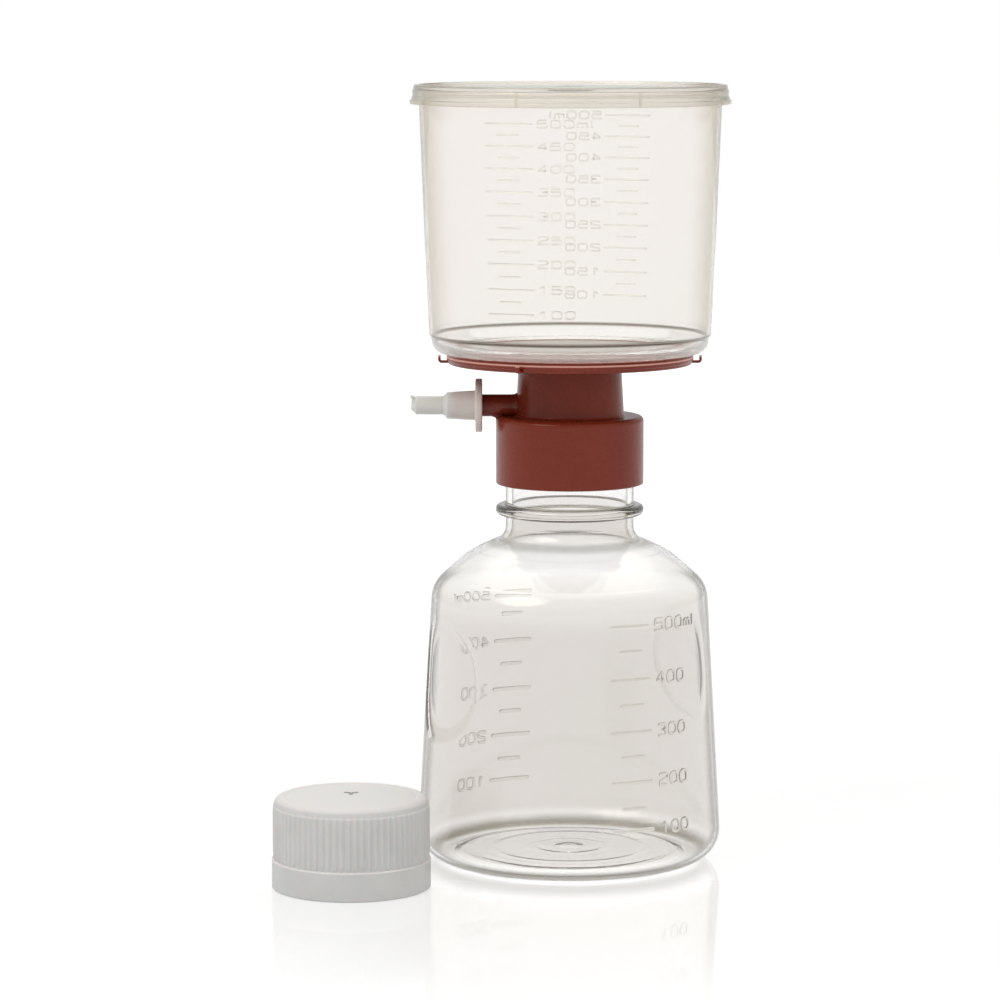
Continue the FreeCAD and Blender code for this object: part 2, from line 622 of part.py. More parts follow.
def cap_ribs():
    """Ring of fine ribs around the cap, as one toothed disc with a chamfered top."""
    points = []
    tooth = 2 * math.pi / CAP_RIB_COUNT
    for index in range(CAP_RIB_COUNT):
        for share, r in ((0.0, CAP_ROOT_R), (0.25, CAP_ROOT_R), (0.45, CAP_RIB_R),
                         (0.8, CAP_RIB_R)):
            angle = (index + share) * tooth
            points.append(Vector(r * math.cos(angle), r * math.sin(angle), CAP_BAND_HEIGHT))
    points.append(points[0])
    height = CAP_RIB_TOP_Z - CAP_BAND_HEIGHT
    toothed = Part.Face(Part.makePolygon(points)).extrude(Vector(0, 0, height))
    limit = turned([
        (0, CAP_BAND_HEIGHT - OVERLAP),
        (CAP_RIB_R + OVERLAP, CAP_BAND_HEIGHT - OVERLAP),
        (CAP_RIB_R + OVERLAP, CAP_RIB_TOP_Z - CAP_RIB_HEIGHT - OVERLAP),
        (CAP_ROOT_R - OVERLAP, CAP_RIB_TOP_Z + OVERLAP),
        (0, CAP_RIB_TOP_Z + OVERLAP),
    ])
    return toothed.common(limit)


def receiver_cap():
    """Ribbed screw cap of the bottle, standing open side down on the bench."""
    inner_top_z = CAP_HEIGHT - CAP_TOP_DISH - CAP_TOP_THICKNESS
    plug_r = NECK_BORE_R - CAP_PLUG_GAP
    dish_r = CAP_ROOT_R - CAP_TOP_BORDER
    distance = bottle_wall_r(HEEL_RADIUS) + CAP_DISTANCE + CAP_BAND_R
    shell = turned([
        (0, 0),
        (CAP_BAND_R, 0, 0.5),
        (CAP_BAND_R, CAP_BAND_HEIGHT, 0.4),
        (CAP_ROOT_R, CAP_BAND_HEIGHT),
        (CAP_ROOT_R, CAP_HEIGHT, CAP_EDGE),
        (dish_r + CAP_TOP_DISH, CAP_HEIGHT),
        (dish_r, CAP_HEIGHT - CAP_TOP_DISH),
        (0, CAP_HEIGHT - CAP_TOP_DISH),
    ])
    hollow = turned([
        (0, -OVERLAP),
        (COLLAR_BORE_R, -OVERLAP),
        (COLLAR_BORE_R, inner_top_z, 0.6),
        (plug_r, inner_top_z),
        (plug_r, inner_top_z - CAP_PLUG_DEPTH),
        (plug_r - CAP_PLUG_WALL, inner_top_z - CAP_PLUG_DEPTH),
        (plug_r - CAP_PLUG_WALL, inner_top_z),
        (0, inner_top_z),
    ])
    cap = shell.fuse(cap_ribs()).cut(hollow)
    cap = cap.fuse(mating_ridge(CAP_THREAD_START_Z))
    cap.translate(Vector(0, -distance, 0))
    return from_front(cap, CAP_AZIMUTH)


PIECES = {
    "receiver_bottle": receiver_bottle,
    "filter_base": filter_base,
    "support_plate": support_plate,
    "filter_membrane": filter_membrane,
    "upper_chamber": upper_chamber,
    "chamber_lid": chamber_lid,
    "hose_adapter": hose_adapter,
    "cotton_plug": cotton_plug,
    "neck_seal": neck_seal,
    "receiver_cap": receiver_cap,
}

os.makedirs("parts", exist_ok=True)
for name, build in PIECES.items():
    shape = build()
    print(name, "valid", shape.isValid(), "solids", len(shape.Solids),
          "volume %.1f" % shape.Volume)
    shape.exportStep("parts/%s.step" % name)
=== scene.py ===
"""Looks of a vacuum filtration unit of half a litre and of its bottle's loose cap.

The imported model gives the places: each sub-assembly reads its box from the frame and
builds fine surfaces around it. Shapes are in millimetres until a mesh is made from them.
The axis of bottle, base and chamber is Z, and the bench is at Z = 0. Angles around that
axis count from the front (-Y), positive towards +X.
"""

import logging
import math
from dataclasses import dataclass, field
from enum import Enum
from typing import Any, Callable, Iterable, Sequence

import bpy
import numpy as np
from numpy.typing import NDArray
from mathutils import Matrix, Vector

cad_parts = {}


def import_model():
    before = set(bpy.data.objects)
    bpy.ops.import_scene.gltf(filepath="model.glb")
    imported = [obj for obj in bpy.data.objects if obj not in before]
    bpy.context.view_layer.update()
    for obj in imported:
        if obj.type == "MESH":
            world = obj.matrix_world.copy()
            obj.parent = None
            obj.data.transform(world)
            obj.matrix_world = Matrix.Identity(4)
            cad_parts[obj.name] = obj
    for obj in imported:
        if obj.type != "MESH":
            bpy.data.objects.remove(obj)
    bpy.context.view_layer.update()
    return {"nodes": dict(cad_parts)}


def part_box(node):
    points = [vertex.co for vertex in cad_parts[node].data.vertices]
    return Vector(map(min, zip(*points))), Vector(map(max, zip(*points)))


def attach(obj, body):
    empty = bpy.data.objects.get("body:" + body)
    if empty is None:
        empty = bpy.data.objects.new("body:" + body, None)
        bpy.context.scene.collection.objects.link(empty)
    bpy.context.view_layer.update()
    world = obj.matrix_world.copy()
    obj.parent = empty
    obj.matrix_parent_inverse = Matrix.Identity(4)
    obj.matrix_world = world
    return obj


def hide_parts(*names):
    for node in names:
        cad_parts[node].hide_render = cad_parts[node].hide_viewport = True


log = logging.getLogger("filtration_unit")

Array = NDArray[np.float64]
Colour = tuple[float, float, float]
Corner = tuple[float, ...]
Swell = Callable[[Array, Array, Array], Array]

MM = 0.001
SAME_PLACE = 1e-6
WALL_REACH = 0.05
WHITE = (1.0, 1.0, 1.0, 1.0)


# --- Surfaces ---


def smooth_step(low: float, high: float, value: Array) -> Array:
    """Rises from 0 at low to 1 at high along 3t^2 - 2t^3, and is level outside."""
    t = np.clip((value - low) / (high - low), 0.0, 1.0)
    return t * t * (3.0 - 2.0 * t)


@dataclass(frozen=True)
class Shell:
    """A closed surface in millimetres.

    Attributes:
        points: Corner places, shape (n, 3).
        quads: Four corner numbers a row, shape (q, 4).
        tris: Three corner numbers a row, shape (t, 3).
    """

    points: Array
    quads: NDArray[np.int64]
    tris: NDArray[np.int64]

    @staticmethod
    def from_grid(points: Array, closed_rows: bool) -> "Shell":
        """Joins neighbouring points of a grid of closed rings with faces.

        A ring whose points all coincide becomes one corner, and the faces beside it
        become triangles, so that poles and capped ends are closed.

        Args:
            points: Grid of places, shape (rings, columns, 3).
            closed_rows: Whether the last ring joins the first.

        Returns:
            The surface, with its faces turned outwards.
        """
        rows, columns = points.shape[:2]
        index = np.arange(rows * columns).reshape(rows, columns)
        pole = np.ptp(points, axis=1).max(axis=1) < SAME_PLACE
        index[pole] = index[pole][:, :1]
        if closed_rows:
            index = np.vstack([index, index[:1]])
        index = np.hstack([index, index[:, :1]])
        lower, upper = index[:-1], index[1:]
        faces = np.stack([lower[:, :-1], lower[:, 1:], upper[:, 1:], upper[:, :-1]], axis=-1)
        faces = faces.reshape(-1, 4)
        low_point = faces[:, 0] == faces[:, 1]
        high_point = faces[:, 2] == faces[:, 3]
        tris = np.concatenate([
            faces[low_point & ~high_point][:, [0, 2, 3]],
            faces[high_point & ~low_point][:, [0, 1, 2]],
        ])
        quads = faces[~low_point & ~high_point]
        used, renumbered = np.unique(np.concatenate([quads.ravel(), tris.ravel()]),
                                     return_inverse=True)
        shell = Shell(points.reshape(-1, 3)[used], renumbered[:quads.size].reshape(-1, 4),
                      renumbered[quads.size:].reshape(-1, 3))
        return shell.turned_outwards()

    @staticmethod
    def joined(shells: Sequence["Shell"]) -> "Shell":
        """Puts several surfaces into one, each keeping its own corners.

        Args:
            shells: The surfaces.

        Returns:
            One surface with all their faces.
        """
        starts = np.cumsum([0] + [len(shell.points) for shell in shells[:-1]])
        return Shell(
            np.concatenate([shell.points for shell in shells]),
            np.concatenate([shell.quads + start for shell, start in zip(shells, starts)]),
            np.concatenate([shell.tris + start for shell, start in zip(shells, starts)]),
        )

    def volume(self) -> float:
        """Signed volume, from all faces as triangles.

        Returns:
            The sum over triangles with corners a, b, c of a . (b x c) / 6.
        """
        halves = [self.tris, self.quads[:, [0, 1, 2]], self.quads[:, [0, 2, 3]]]
        corners = self.points[np.concatenate(halves)]
        cross = np.cross(corners[:, 1], corners[:, 2])
        return float(np.einsum("ij,ij->", corners[:, 0], cross) / 6.0)

    def turned_outwards(self) -> "Shell":
        """The surface with its faces turned outwards.

        Returns:
            The same surface, or one with all faces reversed if its volume is negative.
        """
        if self.volume() >= 0.0:
            return self
        return Shell(self.points, self.quads[:, ::-1], self.tris[:, ::-1])

    def moved(self, x: float = 0.0, y: float = 0.0, z: float = 0.0) -> "Shell":
        """Copy shifted by the given distances."""
        return Shell(self.points + np.array([x, y, z]), self.quads, self.tris)

    def around(self, azimuth: float) -> "Shell":
        """Turns a surface built at the front around the Z axis.

        Args:
            azimuth: Where it goes, in degrees.

        Returns:
            The turned copy.
        """
        angle = math.radians(azimuth)
        cos, sin = math.cos(angle), math.sin(angle)
        turn = np.array([[cos, -sin, 0.0], [sin, cos, 0.0], [0.0, 0.0, 1.0]])
        return Shell(self.points @ turn.T, self.quads, self.tris)

    def repeated(self, azimuths: Iterable[float]) -> "Shell":
        """Copies of a surface built at the front, one at each azimuth in degrees."""
        return Shell.joined([self.around(azimuth) for azimuth in azimuths])

    def piece(self, name: str, finish: "Finish", sharp: float = 40.0) -> bpy.types.Object:
        """Makes a Blender object from the surface.

        Args:
            name: Name of the piece.
            finish: Finish whose material it gets.
            sharp: Edges that turn by more degrees than this stay crisp.

        Returns:
            The object, linked to the scene, at the origin.
        """
        mesh = bpy.data.meshes.new(name)
        faces = self.quads.tolist() + self.tris.tolist()
        mesh.from_pydata((self.points * MM).tolist(), [], faces)
        mesh.shade_smooth()
        mesh.set_sharp_from_angle(angle=math.radians(sharp))
        mesh.materials.append(finish.material())
        return in_scene(name, mesh)


def in_scene(name: str, data: bpy.types.ID) -> bpy.types.Object:
    """Puts a mesh, lamp or camera into the scene as an object.

    Args:
        name: Name of the object.
        data: What it shows.

    Returns:
        The object, at the origin.
    """
    thing = bpy.data.objects.new(name, data)
    bpy.context.scene.collection.objects.link(thing)
    return thing


def outline(corners: Sequence[Corner], closed: bool = True, step: float = 3.0,
            turn: float = 9.0, hold: float = 0.12) -> Array:
    """Points along an outline of straight runs joined by tangent arcs.

    Each corner is (radius, height) or (radius, height, fillet). A fillet of radius f
    replaces its corner by an arc that touches both runs at f / tan(half the angle
    between them). Points close to the ends of each run keep it straight when shaded.

    Args:
        corners: The corners in order.
        closed: Whether the last run goes back to the first corner.
        step: Longest stretch between two points of a run.
        turn: Largest angle between two points of an arc, in degrees.
        hold: Distance of the points that hold the ends of a run.

    Returns:
        The points, shape (n, 2).
    """
    places = np.array([corner[:2] for corner in corners], float)
    fillets = [corner[2] if len(corner) > 2 else 0.0 for corner in corners]
    count = len(places)
    bends: list[Array] = []
    for index in range(count):
        here = places[index]
        inner = closed or 0 < index < count - 1
        if not fillets[index] or not inner:
            bends.append(here[None, :])
            continue
        back = places[index - 1] - here
        ahead = places[(index + 1) % count] - here
        back /= np.linalg.norm(back)
        ahead /= np.linalg.norm(ahead)
        half = math.acos(float(np.clip(back @ ahead, -1.0, 1.0))) / 2.0
        middle = (back + ahead) / np.linalg.norm(back + ahead)
        centre = here + middle * fillets[index] / math.sin(half)
        sweep = math.pi - 2.0 * half
        pieces = max(2, math.ceil(math.degrees(sweep) / turn))
        share = np.linspace(-sweep / 2.0, sweep / 2.0, pieces + 1)[:, None]
        across = (ahead - back) / np.linalg.norm(ahead - back)
        bends.append(centre + fillets[index] * (np.sin(share) * across
                                                - np.cos(share) * middle))
    points: list[Array] = []
    for index in range(count):
        points.append(bends[index])
        if index == count - 1 and not closed:
            break
        start, end = bends[index][-1], bends[(index + 1) % count][0]
        length = float(np.linalg.norm(end - start))
        if length > 4.0 * hold:
            parts = max(1, math.ceil((length - 2.0 * hold) / step))
            along = np.linspace(hold, length - hold, parts + 1)[:, None] / length
            points.append(start + (end - start) * along)
    joined = np.concatenate(points)
    apart = np.linalg.norm(joined - np.roll(joined, 1, axis=0), axis=1) > SAME_PLACE
    return joined[apart]


def full_turn(columns: int) -> Array:
    """Evenly spaced azimuths in radians, without the one that closes the circle."""
    return np.linspace(0.0, 2.0 * math.pi, columns, endpoint=False)


def lathe(points: Array, azimuths: Array, closed: bool = True,
          swell: Swell | None = None) -> Shell:
    """Turns an outline around the Z axis.

    A point of radius r and height z at azimuth a goes to (r sin a, -r cos a, z), where
    swell(r, a, z) may add to the radius.

    Args:
        points: Outline of radii and heights, shape (n, 2).
        azimuths: Azimuths in radians.
        closed: Whether the outline is a loop. An open one starts and ends on the axis.
        swell: Function of radius, azimuth and height that gives extra radius.

    Returns:
        The closed surface.
    """
    radius = np.repeat(points[:, :1], len(azimuths), axis=1)
    height = np.repeat(points[:, 1:], len(azimuths), axis=1)
    azimuth = np.repeat(azimuths[None, :], len(points), axis=0)
    if swell is not None:
        radius = radius + swell(radius, azimuth, height)
    grid = np.stack([radius * np.sin(azimuth), -radius * np.cos(azimuth), height], axis=-1)
    return Shell.from_grid(grid, closed_rows=closed)


def capped(grid: Array) -> Array:
    """Adds a point at the middle of the first and of the last ring of a grid.

    Args:
        grid: Rings of places, shape (rings, columns, 3).

    Returns:
        The grid with a ring more at each end, whose points all coincide.
    """
    first = np.repeat(grid[:1].mean(axis=1, keepdims=True), grid.shape[1], axis=1)
    last = np.repeat(grid[-1:].mean(axis=1, keepdims=True), grid.shape[1], axis=1)
    return np.concatenate([first, grid, last])


def rounded_section(width: float, height: float, radius: float) -> Array:
    """Rectangle with quarter-circle corners, centred on zero.

    Args:
        width: Its first measure.
        height: Its second measure.
        radius: Radius of its corners.

    Returns:
        Its outline, shape (n, 2).
    """
    x, y = width / 2.0, height / 2.0
    corners = [(-x, -y, radius), (x, -y, radius), (x, y, radius), (-x, y, radius)]
    return outline(corners, step=2.0, turn=30.0, hold=0.05)


def carried(section: Array, path: Array) -> Shell:
    """Carries a section along a flat path in the plane X = 0, with closed ends.

    The section's first number runs along X and its second along the path's normal,
    which is its tangent turned by a quarter.

    Args:
        section: Closed outline, shape (m, 2).
        path: Places (y, z), shape (n, 2).

    Returns:
        The closed surface.
    """
    tangent = np.gradient(path, axis=0)
    tangent /= np.linalg.norm(tangent, axis=1, keepdims=True)
    normal = np.stack([-tangent[:, 1], tangent[:, 0]], axis=1)
    flat = path[:, None, :] + section[None, :, 1:] * normal[:, None, :]
    side = np.repeat(section[None, :, :1], len(path), axis=0)
    return Shell.from_grid(capped(np.concatenate([side, flat], axis=2)), closed_rows=False)


# --- Shader maths ---


class Signal:
    """A socket whose value can be reckoned with: each operator adds a Math node."""

    def __init__(self, tree: "ShaderTree", socket: bpy.types.NodeSocket) -> None:
        """Wraps a socket of a tree."""
        self.tree = tree
        self.socket = socket

    def _math(self, operation: str, first: Any, second: Any) -> "Signal":
        """Adds a Math node with two operands."""
        return self.tree.node("ShaderNodeMath", {"operation": operation},
                              {0: first, 1: second})

    def __add__(self, other: Any) -> "Signal":
        """self + other, in either order."""
        return self._math("ADD", self, other)

    def __mul__(self, other: Any) -> "Signal":
        """self * other, in either order."""
        return self._math("MULTIPLY", self, other)

    def __rsub__(self, other: Any) -> "Signal":
        """other - self."""
        return self._math("SUBTRACT", other, self)

    __radd__ = __add__
    __rmul__ = __mul__

    def largest(self, other: Any) -> "Signal":
        """The larger of two values."""
        return self._math("MAXIMUM", self, other)

    def near(self, middle: float, reach: float) -> "Signal":
        """1 at a value and 0 as far from it as the reach, with soft slopes."""
        return self.between(middle - reach, middle) * (1.0 - self.between(middle,
                                                                          middle + reach))

    def between(self, low: float, high: float) -> "Signal":
        """0 below low, 1 above high, and smooth between them."""
        return self.tree.node("ShaderNodeMapRange", {"interpolation_type": "SMOOTHSTEP"},
                              {0: self, 1: low, 2: high, 3: 0.0, 4: 1.0})


class ShaderTree:
    """The nodes of one material or world."""

    def __init__(self, owner: bpy.types.Material | bpy.types.World) -> None:
        """Takes over a node tree and empties it.

        Args:
            owner: The material or world whose nodes they are.
        """
        owner.use_nodes = True
        self.tree = owner.node_tree
        self.tree.nodes.clear()

    def node(self, kind: str, settings: dict[str, Any] | None = None,
             inputs: dict[str | int, Any] | None = None, output: str | int = 0) -> Signal:
        """Adds a node.

        Args:
            kind: The node's type.
            settings: Values of its properties, set first.
            inputs: Numbers, colours or signals for its sockets, by name or place.
            output: The socket that is returned.

        Returns:
            The chosen output as a signal.
        """
        made = self.tree.nodes.new(kind)
        for name, value in (settings or {}).items():
            setattr(made, name, value)
        for key, value in (inputs or {}).items():
            if isinstance(value, Signal):
                self.tree.links.new(value.socket, made.inputs[key])
            else:
                made.inputs[key].default_value = value
        return Signal(self, made.outputs[output])

    def blend(self, share: Any, first: Any, second: Any) -> Signal:
        """Mixes two colours, through a Mix node.

        Args:
            share: Share of the second colour.
            first: A colour or a signal that carries one.
            second: Another.

        Returns:
            The mixed colour.
        """
        colours = [c if isinstance(c, Signal) else (*c, 1.0) for c in (first, second)]
        return self.node("ShaderNodeMix", {"data_type": "RGBA"},
                         {0: share, 6: colours[0], 7: colours[1]}, 2)

    def place(self) -> Signal:
        """Object coordinates, in metres."""
        return self.node("ShaderNodeTexCoord", output="Object")

    def along(self, axis: str) -> Signal:
        """One of the object coordinates, X, Y or Z, in metres."""
        return self.node("ShaderNodeSeparateXYZ", {}, {0: self.place()}, axis)

    def ray(self, kind: str) -> Signal:
        """1 for rays of a kind, as the Light Path node names it, and 0 for others."""
        return self.node("ShaderNodeLightPath", output=kind)

    def choice(self, share: Signal, first: Signal, second: Signal) -> Signal:
        """Mixes two shaders by the share of the second."""
        return self.node("ShaderNodeMixShader", {}, {0: share, 1: first, 2: second})

    def glow(self, strength: Any) -> Signal:
        """White light of a strength."""
        return self.node("ShaderNodeEmission", {}, {"Color": WHITE, "Strength": strength})

    def axis_distance(self) -> Signal:
        """Distance of the shaded point from the unit's axis.

        Returns:
            The distance in metres: the length of the object coordinates with Z left out.
        """
        flat = self.node("ShaderNodeVectorMath", {"operation": "MULTIPLY"},
                         {0: self.place(), 1: (1.0, 1.0, 0.0)})
        return self.node("ShaderNodeVectorMath", {"operation": "LENGTH"}, {0: flat}, "Value")

    def noise(self, scale: float, detail: float = 2.0,
              stretch: Colour | None = None) -> Signal:
        """Noise over the piece, as a value around one half.

        Args:
            scale: Waves per metre.
            detail: Number of finer layers.
            stretch: Factors on the three coordinates, for a grain with a direction.

        Returns:
            The noise's value.
        """
        place = self.place()
        if stretch is not None:
            place = self.node("ShaderNodeMapping", {}, {"Vector": place, "Scale": stretch})
        return self.node("ShaderNodeTexNoise", {},
                         {"Vector": place, "Scale": scale, "Detail": detail})

    def relief(self, height: Signal, depth: float) -> Signal:
        """Normal of a surface raised by a height of 0 to 1 times a depth in metres."""
        return self.node("ShaderNodeBump", {},
                         {"Height": height, "Distance": depth, "Strength": 1.0})

    def finish(self, shader: Signal, kind: str = "ShaderNodeOutputMaterial") -> None:
        """Sends a shader to the output."""
        made = self.tree.nodes.new(kind)
        self.tree.links.new(shader.socket, made.inputs["Surface"])


# --- Finishes ---


@dataclass(frozen=True)
class Finish:
    """What all finishes share: a name, and one material made once for it."""

    name: str

    def material(self) -> bpy.types.Material:
        """The finish's material.

        Returns:
            The material, made at its first use.
        """
        made = bpy.data.materials.get(self.name)
        if made is None:
            made = bpy.data.materials.new(self.name)
            tree = ShaderTree(made)
            tree.finish(self.shader(tree))
        return made

    def shader(self, tree: ShaderTree) -> Signal:
        """The shader in a material's tree. Each finish gives its own."""
        raise NotImplementedError


@dataclass(frozen=True)
class ClearPlastic(Finish):
    """Clear plastic with a slight tint, ripples, and darker edges where it is seen along,
    which are painted shade.

    Attributes:
        tint: Colour that a surface passes when seen square on.
        edge: Colour that it passes when seen along the surface: painted shade.
        edge_shade_band: How far the surface turns away, from 0 to 1, where that painted
            shade starts to come in and where it is reached.
        roughness: Blur of what shows through.
        ior: Bending power.
        ripple: Depth of the slow ripples of the wall, in metres.
        ripple_scale: Ripples per metre.
        blush: Second tint that drifts over the surface, from strain in the plastic.
        blush_share: Largest share of that tint.
        thin: Paler tint of the bands of painted highlight.
        highlight_bands: Heights where a band of painted highlight starts, is full, ends to be
            full and ends, in metres.
        creases: Heights and half widths of painted shade along creases, in metres, and its
            strength.
        crease_shade: Tint of the painted shade in the creases.
        edge_shade_r: Distances from the unit's axis, in metres, between which the painted
        edge shade comes in. Without them it shows at all distances.
        neck_r: Distances, in metres, between which it ends again inside the neck.
        neck_z: Heights, in metres, between which the neck starts.
        edge_shade_z: Heights between which the painted edge shade comes in. Without them it
            shows at all heights.
        edge_shade_left: Share of the painted edge shade elsewhere.
        clear: Share of clear plastic. The rest is milky.
        heel: Heights, in metres, between which a painted shade at the heel ends, and distances
        from the axis between which it starts. It has the tint of the painted shade in the
        creases.
        faint_z: Heights, in metres, between which a low part ends that hardly bends what
            shows through. Without them there is none.
        faint: How much of that part's surface is seen.
        under: Tint of the parts that face down, a painted highlight. Without it they have the
        tint of the rest.
    """

    tint: Colour = (0.97, 0.965, 0.955)
    edge: Colour = (0.45, 0.42, 0.36)
    edge_shade_band: tuple[float, float] = (0.5, 1.0)
    roughness: float = 0.0
    ior: float = 1.5
    ripple: float = 0.00002
    ripple_scale: float = 35.0
    blush: Colour = (0.98, 0.93, 0.92)
    blush_share: float = 0.5
    thin: Colour = (0.99, 0.985, 0.98)
    highlight_bands: tuple[tuple[float, float, float, float], ...] = ()
    creases: tuple[tuple[float, float, float], ...] = ()
    crease_shade: Colour = (0.3, 0.22, 0.17)
    edge_shade_r: tuple[float, float] | None = None
    neck_r: tuple[float, float] = (0.0212, 0.022)
    neck_z: tuple[float, float] = (0.1, 0.106)
    edge_shade_z: tuple[float, float] | None = None
    edge_shade_left: float = 0.25
    clear: float = 1.0
    heel: tuple[float, float, float, float] | None = None
    faint_z: tuple[float, float] | None = None
    faint: float = 0.7
    under: Colour | None = None

    def cover(self, tree: ShaderTree) -> Signal | float:
        """How much of the surface is seen: all of it but for the faint part.

        Args:
            tree: The nodes of the finish's material.

        Returns:
            The share, or 1 where nothing is faint.
        """
        if self.faint_z is None:
            return 1.0
        height = tree.along("Z")
        return height.between(*self.faint_z) * (1.0 - self.faint) + self.faint

    def colour(self, tree: ShaderTree) -> Signal:
        """Tint over the wall: drifting, paler in bands of painted highlight, darker along
        edges as painted shade.

        Args:
            tree: The nodes of the finish's material.

        Returns:
            The tint.
        """
        facing = tree.node("ShaderNodeLayerWeight", {}, {"Blend": 0.5}, "Facing")
        drift = tree.noise(14.0, detail=1.0, stretch=(1.0, 1.0, 0.6)).between(0.42, 0.62)
        body = tree.blend(drift * self.blush_share, self.tint, self.blush)
        height = tree.along("Z")
        # Painted highlight: paler bands where light brightens the wall.
        for start, full, still, end in self.highlight_bands:
            share = height.between(start, full) * (1.0 - height.between(still, end))
            body = tree.blend(share, body, self.thin)
        # Painted shade: the tint turns to the edge colour where the wall is seen along.
        dark = facing.between(*self.edge_shade_band)
        if self.edge_shade_r is not None:
            away = tree.axis_distance()
            neck = height.between(*self.neck_z) * (1.0 - away.between(*self.neck_r))
            dark = dark * away.between(*self.edge_shade_r).largest(neck).largest(self.edge_shade_left)
        if self.edge_shade_z is not None:
            dark = dark * height.between(*self.edge_shade_z).largest(self.edge_shade_left)
        body = tree.blend(dark, body, self.edge)
        # Painted highlight: parts that face down take the under tint, as if lit from the
        # floor.
        if self.under is not None:
            normal = tree.node("ShaderNodeNewGeometry", output="Normal")
            inside = tree.node("ShaderNodeNewGeometry", output="Backfacing")
            upward = tree.node("ShaderNodeSeparateXYZ", {}, {0: normal}, "Z")
            upward = upward * (1.0 - inside * 2.0)
            body = tree.blend(upward.between(-0.2, 0.2), self.under, body)
        # Painted shade: dark lines along the creases.
        for middle, reach, strength in self.creases:
            body = tree.blend(height.near(middle, reach) * strength, body, self.crease_shade)
        # Painted shade: a darker heel just above the foot ring.
        if self.heel is not None:
            low, high, near, far = self.heel
            foot = tree.axis_distance().between(near, far) * (1.0 - height.between(low, high))
            body = tree.blend(foot, body, self.crease_shade)
        return body

    def shader(self, tree: ShaderTree) -> Signal:
        """Glass-like plastic that lets lamp light and soft light straight through.

        Args:
            tree: The nodes of the finish's material.

        Returns:
            The shader.
        """
        ripples = tree.noise(self.ripple_scale, detail=1.5, stretch=(1.0, 1.0, 0.5))
        wall = tree.node("ShaderNodeBsdfPrincipled", {}, {
            "Base Color": self.colour(tree),
            "Roughness": self.roughness,
            "IOR": self.ior,
            "Transmission Weight": self.clear,
            "Alpha": self.cover(tree),
            "Normal": tree.relief(ripples, self.ripple),
        })
        passed = tuple(0.5 + 0.5 * channel for channel in self.tint)
        open_air = tree.node("ShaderNodeBsdfTransparent", {}, {"Color": (*passed, 1.0)})
        lit = tree.choice(tree.ray("Is Shadow Ray"), wall, open_air)
        return tree.choice(tree.ray("Is Diffuse Ray"), lit, open_air)


@dataclass(frozen=True)
class MouldedPlastic(Finish):
    """Coloured moulded plastic with slow flow marks and a faint mould grain.

    Attributes:
        colour: Main colour.
        flow_colour: Colour of the flow marks.
        roughness: Mean roughness.
        depth: Share of light that goes into the plastic and comes out again.
        grain: Depth of the mould grain, in metres.
        coat: Weight of the smooth skin.
        shine: Level of the plain reflection.
        painted_highlight: Colour of painted highlight lines on edges.
        painted_highlight_edges: Heights and half widths of those lines, in metres.
        painted_highlight_r: Distances from the unit's axis between which they come in, in
            metres.
    """

    colour: Colour = (0.185, 0.0225, 0.009)
    flow_colour: Colour = (0.205, 0.0285, 0.0125)
    roughness: float = 0.28
    depth: float = 0.1
    grain: float = 0.000012
    coat: float = 0.03
    shine: float = 0.28
    painted_highlight: Colour = (0.72, 0.38, 0.33)
    painted_highlight_edges: tuple[tuple[float, float], ...] = ()
    painted_highlight_r: tuple[float, float] = (0.038, 0.0388)

    def shader(self, tree: ShaderTree) -> Signal:
        """Glossy plastic whose colour and roughness drift a little.

        Args:
            tree: The nodes of the finish's material.

        Returns:
            The shader.
        """
        flow = tree.noise(60.0, detail=3.0, stretch=(1.0, 1.0, 0.35)).between(0.35, 0.7)
        wear = tree.noise(350.0, detail=2.0)
        fine = tree.noise(2600.0, detail=2.0)
        colour = tree.blend(flow, self.colour, self.flow_colour)
        # Painted highlight: pink lines along edges of the flange.
        if self.painted_highlight_edges:
            height = tree.along("Z")
            outside = tree.axis_distance().between(*self.painted_highlight_r)
            for middle, reach in self.painted_highlight_edges:
                colour = tree.blend(height.near(middle, reach) * outside, colour, self.painted_highlight)
        return tree.node("ShaderNodeBsdfPrincipled", {}, {
            "Base Color": colour,
            "Roughness": self.roughness - 0.06 + wear * 0.12,
            "Subsurface Weight": self.depth,
            "Subsurface Radius": (1.0, 0.35, 0.25),
            "Subsurface Scale": 0.0015,
            "Specular IOR Level": self.shine,
            "Coat Weight": self.coat,
            "Coat Roughness": 0.08,
            "Normal": tree.relief(fine, self.grain),
        })


@dataclass(frozen=True)
class MilkyPlastic(Finish):
    """Milky plastic that shows a warm tint where a coloured piece sits inside it.

    Attributes:
        colour: Its own colour.
        warm: Tint over the piece inside.
        inside_x: Where along X the piece inside ends, in metres.
    """

    colour: Colour = (0.66, 0.65, 0.62)
    warm: Colour = (0.62, 0.5, 0.46)
    inside_x: float = -0.0388

    def shader(self, tree: ShaderTree) -> Signal:
        """Soft-lit plastic with cloudy streaks.

        Args:
            tree: The nodes of the finish's material.

        Returns:
            The shader.
        """
        along = tree.along("X")
        over = along.between(self.inside_x - 0.002, self.inside_x + 0.003)
        cloud = tree.noise(180.0, detail=2.0, stretch=(0.4, 1.0, 1.0)).between(0.3, 0.75)
        body = tree.blend(over * 0.7, self.colour, self.warm)
        pale = tuple(min(1.0, channel * 1.12) for channel in self.colour)
        fine = tree.noise(2200.0, detail=2.0)
        return tree.node("ShaderNodeBsdfPrincipled", {}, {
            "Base Color": tree.blend(cloud * 0.45, body, pale),
            "Roughness": 0.3 + fine * 0.1,
            "Subsurface Weight": 0.55,
            "Subsurface Radius": (1.0, 0.9, 0.8),
            "Subsurface Scale": 0.003,
            "Coat Weight": 0.25,
            "Coat Roughness": 0.15,
            "Normal": tree.relief(fine, 0.000008),
        })


